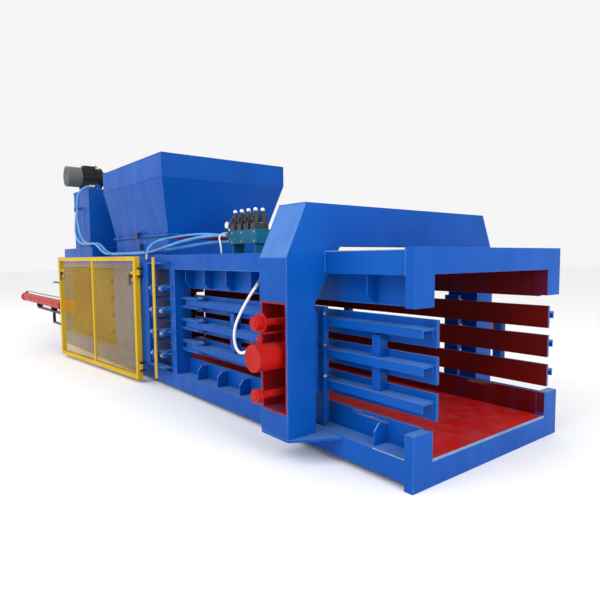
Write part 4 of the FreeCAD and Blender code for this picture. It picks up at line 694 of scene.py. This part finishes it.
beads("rail_weld_beads", rail_seams, bead_tree, 0.0045)
for side, sign in (("near", 1), ("far", -1)):
    beam_seams = [[(18, -631 * sign, top), (-2788, -631 * sign, top)] for top in (485, 690, 894)]
    beam_seams += [[(0.5, -631 * sign, top - 8), (0.5, -727 * sign, top - 8)] for top in (484, 689, 893)]
    for x in (-342, -406, -1979, -2043):
        for low, high in ((530, 580), (735, 784)):
            beam_seams.append([(x, -631 * sign, low), (x, -631 * sign, high)])
    beads("beam_weld_beads_" + side, beam_seams, bead_tree, 0.0042, "side_press_" + side)
stitches = []
for i in range(46):
    stitches.append([(-3206 - i * 37, -753, 2104), (-3222 - i * 37, -753, 2104)])
for i in range(40):
    stitches.append([(-3198, -742 + i * 37, 2104), (-3198, -726 + i * 37, 2104)])
hopper_seams = stitches + [
    [(-3200, -751, 2106), (-3200, -751, 2334), (-3200, 751, 2334), (-3200, 751, 2106)],
    [(-3200, -751, 2334), (-4915, -751, 2334)], [(-3395, -607, 1549), (-3201, -750, 2104)],
    [(-3370, -632, 1536), (-4938, -632, 1536)], [(-3370, -632, 1536), (-3370, 632, 1536)]]
beads("hopper_weld_beads", hopper_seams, bead_tree, 0.0055)
tank_seams = [[(-5670, -701, z), (-6360, -701, z)] for z in (1442, 2238)] + [
    [(-5669, -701, 1442), (-5669, -701, 2238)], [(-5669, -700, 1442), (-5669, 500, 1442)],
    [(-5299, -796, 1438), (-6606, -796, 1438)], [(-5299, -796, 1322), (-5299, -796, 1438)],
    [(-5299, -795, 1439), (-5299, 795, 1439)]]
beads("tank_weld_beads", tank_seams, bead_tree, 0.0045)

# ---- bolts -------------------------------------------------------------------------------------------
# Hexagon bolts with washers that hold the caps, flanges, brackets and the power unit. Zinc
# plated or painted with the part, screwed down against its face.


def bolt_tree(material):
    """A hexagon head on a washer at each point, turned to point along the chosen direction."""
    tree, inlet = new_tree("hex_bolts_" + material.name, (
        ("Head radius", "Float"), ("Head height", "Float"), ("Direction", "Vector")))

    def scaled(value, factor):
        return calculate(tree, "MULTIPLY", value, factor)

    def disc(sides, radius, high, lift):
        cylinder = tree.nodes.new("GeometryNodeMeshCylinder")
        cylinder.inputs["Vertices"].default_value = sides
        tree.links.new(radius, cylinder.inputs["Radius"])
        tree.links.new(high, cylinder.inputs["Depth"])
        raised = tree.nodes.new("GeometryNodeTransform")
        offset = tree.nodes.new("ShaderNodeCombineXYZ")
        tree.links.new(lift, offset.inputs["Z"])
        tree.links.new(cylinder.outputs["Mesh"], raised.inputs["Geometry"])
        tree.links.new(offset.outputs["Vector"], raised.inputs["Translation"])
        return raised.outputs["Geometry"]

    radius, high = inlet.outputs["Head radius"], inlet.outputs["Head height"]
    joint = tree.nodes.new("GeometryNodeJoinGeometry")
    for shape in (disc(6, radius, high, scaled(high, 0.62)),
                  disc(16, scaled(radius, 1.25), scaled(high, 0.18), scaled(high, 0.09)),
                  disc(10, scaled(radius, 0.55), scaled(high, 0.5), scaled(high, 1.3))):
        tree.links.new(shape, joint.inputs["Geometry"])
    turn = tree.nodes.new("FunctionNodeAlignRotationToVector")
    turn.axis = "Z"
    tree.links.new(inlet.outputs["Direction"], turn.inputs["Vector"])
    copies = tree.nodes.new("GeometryNodeInstanceOnPoints")
    tree.links.new(inlet.outputs["Geometry"], copies.inputs["Points"])
    tree.links.new(joint.outputs["Geometry"], copies.inputs["Instance"])
    tree.links.new(turn.outputs["Rotation"], copies.inputs["Rotation"])
    return finished_tree(tree, copies.outputs["Instances"], material)


zinc_bolts = bolt_tree(fitting_steel)
blue_bolts = bolt_tree(blue_enamel)
red_bolts = bolt_tree(red_enamel)


def bolts(name, tree, places, direction, radius, body="machine", slot="dark_steel"):
    """Bolts at places given as station, Y and height in millimetres."""
    mesh = seam_drawing(name + "_places", [[place] for place in places])
    made_plain(name, mesh, tree, body, slot, Head_radius=radius, Head_height=radius * 0.75,
               Direction=direction)


def ring_places(x, y, z, radius, count, plane="xz"):
    """Places round a circle that faces along Y (plane xz) or along X (plane yz)."""
    found = []
    for i in range(count):
        a = 2 * math.pi * (i + 0.5) / count
        u, v = radius * math.cos(a), radius * math.sin(a)
        found.append((x + u, y, z + v) if plane == "xz" else (x, y + u, z + v))
    return found


for side, sign in (("near", -1), ("far", 1)):
    bolts("squeeze_flange_bolts_" + side, red_bolts, ring_places(-855, 919 * sign, 678, 98, 8),
          (0, sign, 0), 0.009, slot="red_paint")
    bolts("main_cylinder_bolts_" + side, zinc_bolts, ring_places(-7025, 722 * sign, 560, 90, 8, "yz"),
          (-1, 0, 0), 0.010)
for side, sign in (("near", -1), ("far", 1)):
    bolts("crosshead_bolts_" + side, zinc_bolts, [(-775, 740 * sign, z) for z in (512, 717, 921)],
          (1, 0, 0), 0.011, body="side_press_" + side)
bolts("neck_bolts", blue_bolts, [(-3440 - i * 150, 621 * s, 1548) for i in range(10) for s in (-1, 1)]
      + [(-3383, -520 + i * 130, 1548) for i in range(9)], (0, 0, 1), 0.010, slot="blue_paint")
bolts("lid_bolts", zinc_bolts, [(-5690 - i * 108, y, 2250) for i in range(7) for y in (-690, 490)]
      + [(x, -570 + i * 118, 2250) for i in range(9) for x in (-5690, -6340)], (0, 0, 1), 0.007)
bolts("manifold_bolts", zinc_bolts, [(x, -415, z) for x in (-2440, -2280, -2075) for z in (1434, 1512)],
      (0, -1, 0), 0.007)
bolts("valve_bolts", zinc_bolts, [(-2444 + i * 112 + dx, y, 1590) for i in range(4) for dx in (-30, 30)
                                  for y in (-345, -325)], (0, 0, 1), 0.006)
bolts("hinge_bolts", zinc_bolts, [(-3430, -938, z) for z in (139, 217, 1109, 1187)], (0, -1, 0), 0.007)

# ---- wire bracket fittings -----------------------------------------------------------------------------
# Each wire bracket has two bright cross bolts through it, with a black rubber wear block behind
# each bolt head.
BRACKET_HEIGHTS = (345, 560, 780, 995)
bolts("bracket_bolts", zinc_bolts, [(x, -882, z + 4) for x in (-3234, -2999) for z in BRACKET_HEIGHTS],
      (0, -1, 0), 0.015)


def blocks(name, sizes, material, chamfer=0.002):
    """Rectangular blocks with softened edges, given as corners in millimetres."""
    made = bmesh.new()
    for x0, x1, y0, y1, z0, z1 in sizes:
        middle = ((x0 + x1) / 2, (y0 + y1) / 2, (z0 + z1) / 2)
        size = Matrix.Diagonal(((x1 - x0) / 1000, (y1 - y0) / 1000, (z1 - z0) / 1000, 1))
        seat = Matrix.Translation(at(*middle))
        bmesh.ops.create_cube(made, size=1.0, matrix=seat @ size)
    bmesh.ops.bevel(made, geom=made.edges[:], offset=chamfer, segments=2, affect="EDGES")
    mesh = bpy.data.meshes.new(name)
    made.to_mesh(mesh)
    made.free()
    piece = smooth_piece(name, mesh, material)
    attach(piece, "machine")


blocks("bracket_wear_blocks", [(x + a, x + b, -869, -862.5, z - 12, z + 18)
                               for x, a, b in ((-3234, 32, 92), (-2999, -92, -32))
                               for z in BRACKET_HEIGHTS], black_moulding)

# ---- valve fittings --------------------------------------------------------------------------------------
# White caps on the solenoid coils, plug sockets on their sides, and at the manifold's rear end
# three teal relief cartridges with bright adjusters and a blank pressure gauge on a stem.
white_moulding = moulded("white_moulding", (0.80, 0.80, 0.77), (0.62, 0.62, 0.59))


def spun(name, pieces, material, sides=20):
    """Turned pieces given as start, end (station, Y, height in mm) and rings, as one object."""
    piece = smooth_piece(name, joined_mesh(name, [turned(at(*a), at(*b), rings, sides)
                                                  for a, b, rings in pieces]), material)
    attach(piece, "machine")


coils = [(-2444 + i * 112, y) for i in range(4) for y in (-373, -297)]
dome = [(0, 0.015), (0.1, 0.018), (0.6, 0.018), (0.85, 0.014), (1, 0.007)]
spun("coil_caps", [((x, y, 1699), (x, y, 1727), dome) for x, y in coils], white_moulding)
blocks("coil_plugs", [(x - 14, x + 14, y - 44 if y < -340 else y + 26.5, y - 26.5 if y < -340 else y + 44,
                       1612, 1652) for x, y in coils], black_moulding)
CARTRIDGE_ROWS = (-362, -318, -274)
cartridge = [(0, 0.013), (0.5, 0.013), (0.52, 0.010), (1, 0.010)]
adjuster = [(0, 0.006), (0.4, 0.006), (0.42, 0.009), (0.9, 0.009), (1, 0.005)]
spun("relief_cartridges", [((-2496, y, 1536), (-2496, y, 1592), cartridge) for y in CARTRIDGE_ROWS],
     nodes["valve_manifold"].material_slots[0].material, 6)
spun("relief_adjusters", [((-2496, y, 1592), (-2496, y, 1628), adjuster) for y in CARTRIDGE_ROWS]
     + [((-2497, -402, 1536), (-2528, -402, 1572), [(0, 0.009), (0.3, 0.009), (0.32, 0.005), (1, 0.005)])],
     fitting_steel, 12)
spun("gauge_case", [((-2532, -392, 1592), (-2532, -417, 1592),
                     [(0, 0.027), (0.1, 0.030), (0.8, 0.030), (0.85, 0.033), (0.97, 0.033), (1, 0.030)])],
     fitting_steel, 32)
spun("gauge_face", [((-2532, -417, 1592), (-2532, -418.5, 1592), [(0, 0.0285), (1, 0.0285)])],
     white_moulding, 32)

# ---- squeeze cylinder port fittings ------------------------------------------------------------------------
# Hexagon fittings screwed on the two ports of each squeeze cylinder, the thin bent steel pipe
# between them and a bleed nipple by the cap, all sprayed red with the barrel. Known fault: the
# pipe cuts into the stop disc on the sliding guide rod.


def bent_pipe(name, points, radius, material):
    """A bent steel pipe through points in millimetres, kept as a plain mesh."""
    line = tube(name + "_line", [at(*point) for point in points], radius, 3, 12)
    draft = bpy.data.objects.new(name + "_draft", line)
    bpy.context.scene.collection.objects.link(draft)
    bpy.context.view_layer.update()
    mesh = bpy.data.meshes.new_from_object(draft.evaluated_get(bpy.context.evaluated_depsgraph_get()))
    bpy.data.objects.remove(draft)
    piece = smooth_piece(name, mesh, material)
    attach(piece, "machine")


PORT_X, CAP_PORT_Y, FLANGE_PORT_Y, PORT_TOP_Z = -855, 1198, 979, 787
NIPPLE_X, NIPPLE_Y, PIPE_Z, PIPE_FOOT_Z, BEND = PORT_X - 38, 1228, PORT_TOP_Z + 36, PORT_TOP_Z + 12, 40
hexagon = [(0, 0.019), (0.06, 0.0205), (0.94, 0.0205), (1, 0.017)]
nipple = [(0, 0.009), (0.5, 0.009), (0.52, 0.006), (0.85, 0.006), (1, 0.004)]
for side, sign in (("near", -1), ("far", 1)):
    cap_y, flange_y = CAP_PORT_Y * sign, FLANGE_PORT_Y * sign
    spun("squeeze_port_nuts_" + side, [((PORT_X, y, PORT_TOP_Z), (PORT_X, y, PORT_TOP_Z + 17), hexagon)
                                       for y in (cap_y, flange_y)], red_enamel, 6)
    spun("squeeze_bleed_nipple_" + side, [((NIPPLE_X, NIPPLE_Y * sign, 751),
                                           (NIPPLE_X, NIPPLE_Y * sign, 782), nipple)],
         red_enamel, 12)
    bent_pipe("squeeze_pipe_" + side, [
        (PORT_X, cap_y, PIPE_FOOT_Z), (PORT_X, cap_y, PIPE_Z), (PORT_X, cap_y - BEND * sign, PIPE_Z),
        (PORT_X, flange_y + BEND * sign, PIPE_Z), (PORT_X, flange_y, PIPE_Z),
        (PORT_X, flange_y, PIPE_FOOT_Z)], 0.007, red_enamel)

# ---- hose ties ---------------------------------------------------------------------------------------------
# Flat black nylon ties pulled round the pressure and return hoses where they run side by side.
# Each is one closed band that lies tight on both hoses.


def line_point(piece, station):
    """Where a hose's own line crosses a station."""
    plain = piece.data.copy()
    plain.bevel_depth = 0.0
    probe = bpy.data.objects.new("probe", plain)
    bpy.context.scene.collection.objects.link(probe)
    bpy.context.view_layer.update()
    line = bpy.data.meshes.new_from_object(probe.evaluated_get(bpy.context.evaluated_depsgraph_get()))
    want = EXIT_PLANE + station / 1000
    found = min((v.co.copy() for v in line.vertices), key=lambda co: abs(co.x - want))
    bpy.data.objects.remove(probe)
    return found


def tie(station, first, second, radius=0.0162, wide=0.006, thick=0.0016):
    """A closed band round two hoses of the same size."""
    a, b = line_point(first, station), line_point(second, station)
    across = math.atan2(b.z - a.z, b.y - a.y)
    middle_x = (a.x + b.x) / 2
    loop = []
    for centre, start in ((a, across + math.pi / 2), (b, across - math.pi / 2)):
        loop += [(centre, start + math.pi * i / 12) for i in range(13)]
    vertices = []
    for edge, away in ((-wide / 2, radius), (wide / 2, radius), (wide / 2, radius + thick),
                       (-wide / 2, radius + thick)):
        vertices += [(middle_x + edge, c.y + away * math.cos(t), c.z + away * math.sin(t)) for c, t in loop]
    count = len(loop)
    faces = [(k * count + i, k * count + (i + 1) % count, ((k + 1) % 4) * count + (i + 1) % count,
              ((k + 1) % 4) * count + i) for k in range(4) for i in range(count)]
    return vertices, faces


pressure_line, return_line = bpy.data.objects["hose_pressure_cover"], bpy.data.objects["hose_return_cover"]
TIE_STATIONS = (-3330, -3700, -4250, -4750)
tie_mesh = joined_mesh("hose_ties", [tie(s, pressure_line, return_line) for s in TIE_STATIONS])
ties = bmesh.new()
ties.from_mesh(tie_mesh)
bmesh.ops.recalc_face_normals(ties, faces=ties.faces[:])
ties.to_mesh(tie_mesh)
ties.free()
hose_ties = smooth_piece("hose_ties", tie_mesh, black_moulding)
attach(hose_ties, "machine")

# ---- guard mesh --------------------------------------------------------------------------------------
# Expanded steel sheet in the hinged guard: zigzag strands that meet at their corners and leave
# diamond openings. Slit, stretched and sprayed yellow, then tacked inside the frame.


def expanded_tree(material):
    """Rows of zigzag strands over a panel of the given width and height, in its X and Z."""
    tree, inlet = new_tree("expanded_sheet", (
        ("Half cell", "Float"), ("Row pitch", "Float"), ("Corners", "Int"), ("Rows", "Int"),
        ("Strand radius", "Float")))

    def vector(x=None, z=None):
        node = tree.nodes.new("ShaderNodeCombineXYZ")
        for name, value in (("X", x), ("Z", z)):
            if value is not None:
                tree.links.new(value, node.inputs[name])
        return node.outputs["Vector"]

    strand = tree.nodes.new("GeometryNodeMeshLine")
    tree.links.new(inlet.outputs["Corners"], strand.inputs["Count"])
    tree.links.new(vector(x=inlet.outputs["Half cell"]), strand.inputs["Offset"])
    number = tree.nodes.new("GeometryNodeInputIndex").outputs["Index"]
    parity = calculate(tree, "MODULO", number, 2.0)
    swing = calculate(tree, "SUBTRACT", parity, 0.5)
    lift = calculate(tree, "MULTIPLY", swing, inlet.outputs["Row pitch"])
    zigzag = tree.nodes.new("GeometryNodeSetPosition")
    tree.links.new(strand.outputs["Mesh"], zigzag.inputs["Geometry"])
    tree.links.new(vector(z=lift), zigzag.inputs["Offset"])
    line = tree.nodes.new("GeometryNodeMeshToCurve")
    tree.links.new(zigzag.outputs["Geometry"], line.inputs["Mesh"])
    section = tree.nodes.new("GeometryNodeCurvePrimitiveCircle")
    section.inputs["Resolution"].default_value = 4
    tree.links.new(inlet.outputs["Strand radius"], section.inputs["Radius"])
    bar = tree.nodes.new("GeometryNodeCurveToMesh")
    tree.links.new(line.outputs["Curve"], bar.inputs["Curve"])
    tree.links.new(section.outputs["Curve"], bar.inputs["Profile Curve"])
    rows = tree.nodes.new("GeometryNodeMeshLine")
    tree.links.new(inlet.outputs["Rows"], rows.inputs["Count"])
    tree.links.new(vector(z=inlet.outputs["Row pitch"]), rows.inputs["Offset"])
    alternate = calculate(tree, "SUBTRACT", 1.0, calculate(tree, "MULTIPLY", parity, 2.0))
    flip = tree.nodes.new("ShaderNodeCombineXYZ")
    flip.inputs["X"].default_value = 1.0
    flip.inputs["Y"].default_value = 1.0
    tree.links.new(alternate, flip.inputs["Z"])
    copies = tree.nodes.new("GeometryNodeInstanceOnPoints")
    tree.links.new(rows.outputs["Mesh"], copies.inputs["Points"])
    tree.links.new(bar.outputs["Mesh"], copies.inputs["Instance"])
    tree.links.new(flip.outputs["Vector"], copies.inputs["Scale"])
    return finished_tree(tree, copies.outputs["Instances"], material)


GUARD_ANGLE = math.radians(4.85)
GUARD_LENGTH, GUARD_LOW, GUARD_HIGH = 2.096, 0.087, 1.265
HALF_CELL, ROW_PITCH = 0.020, 0.018
mesh_yellow = enamel("mesh_enamel", (0.66, 0.46, 0.03), (0.52, 0.34, 0.02), (0.66, 0.56, 0.30), wear=0.3)
blank = bpy.data.meshes.new("expanded_blank")
sheet_piece = made_plain("guard_mesh_sheet", blank, expanded_tree(mesh_yellow), "guard_door",
                         "yellow_paint", Half_cell=HALF_CELL, Row_pitch=ROW_PITCH,
                         Corners=int(GUARD_LENGTH / HALF_CELL) + 1,
                         Rows=int((GUARD_HIGH - GUARD_LOW) / ROW_PITCH), Strand_radius=0.0026)
flat = Matrix.Translation((0.004 - 0.069 - GUARD_LENGTH, -0.0015, GUARD_LOW + ROW_PITCH / 2))
hinge = Matrix.Translation((EXIT_PLANE - 3.430, -0.925, 0)) @ Matrix.Rotation(GUARD_ANGLE, 4, "Z")
sheet_piece.data.transform(hinge @ flat)
sheet_piece.data.update()
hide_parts("guard_mesh")
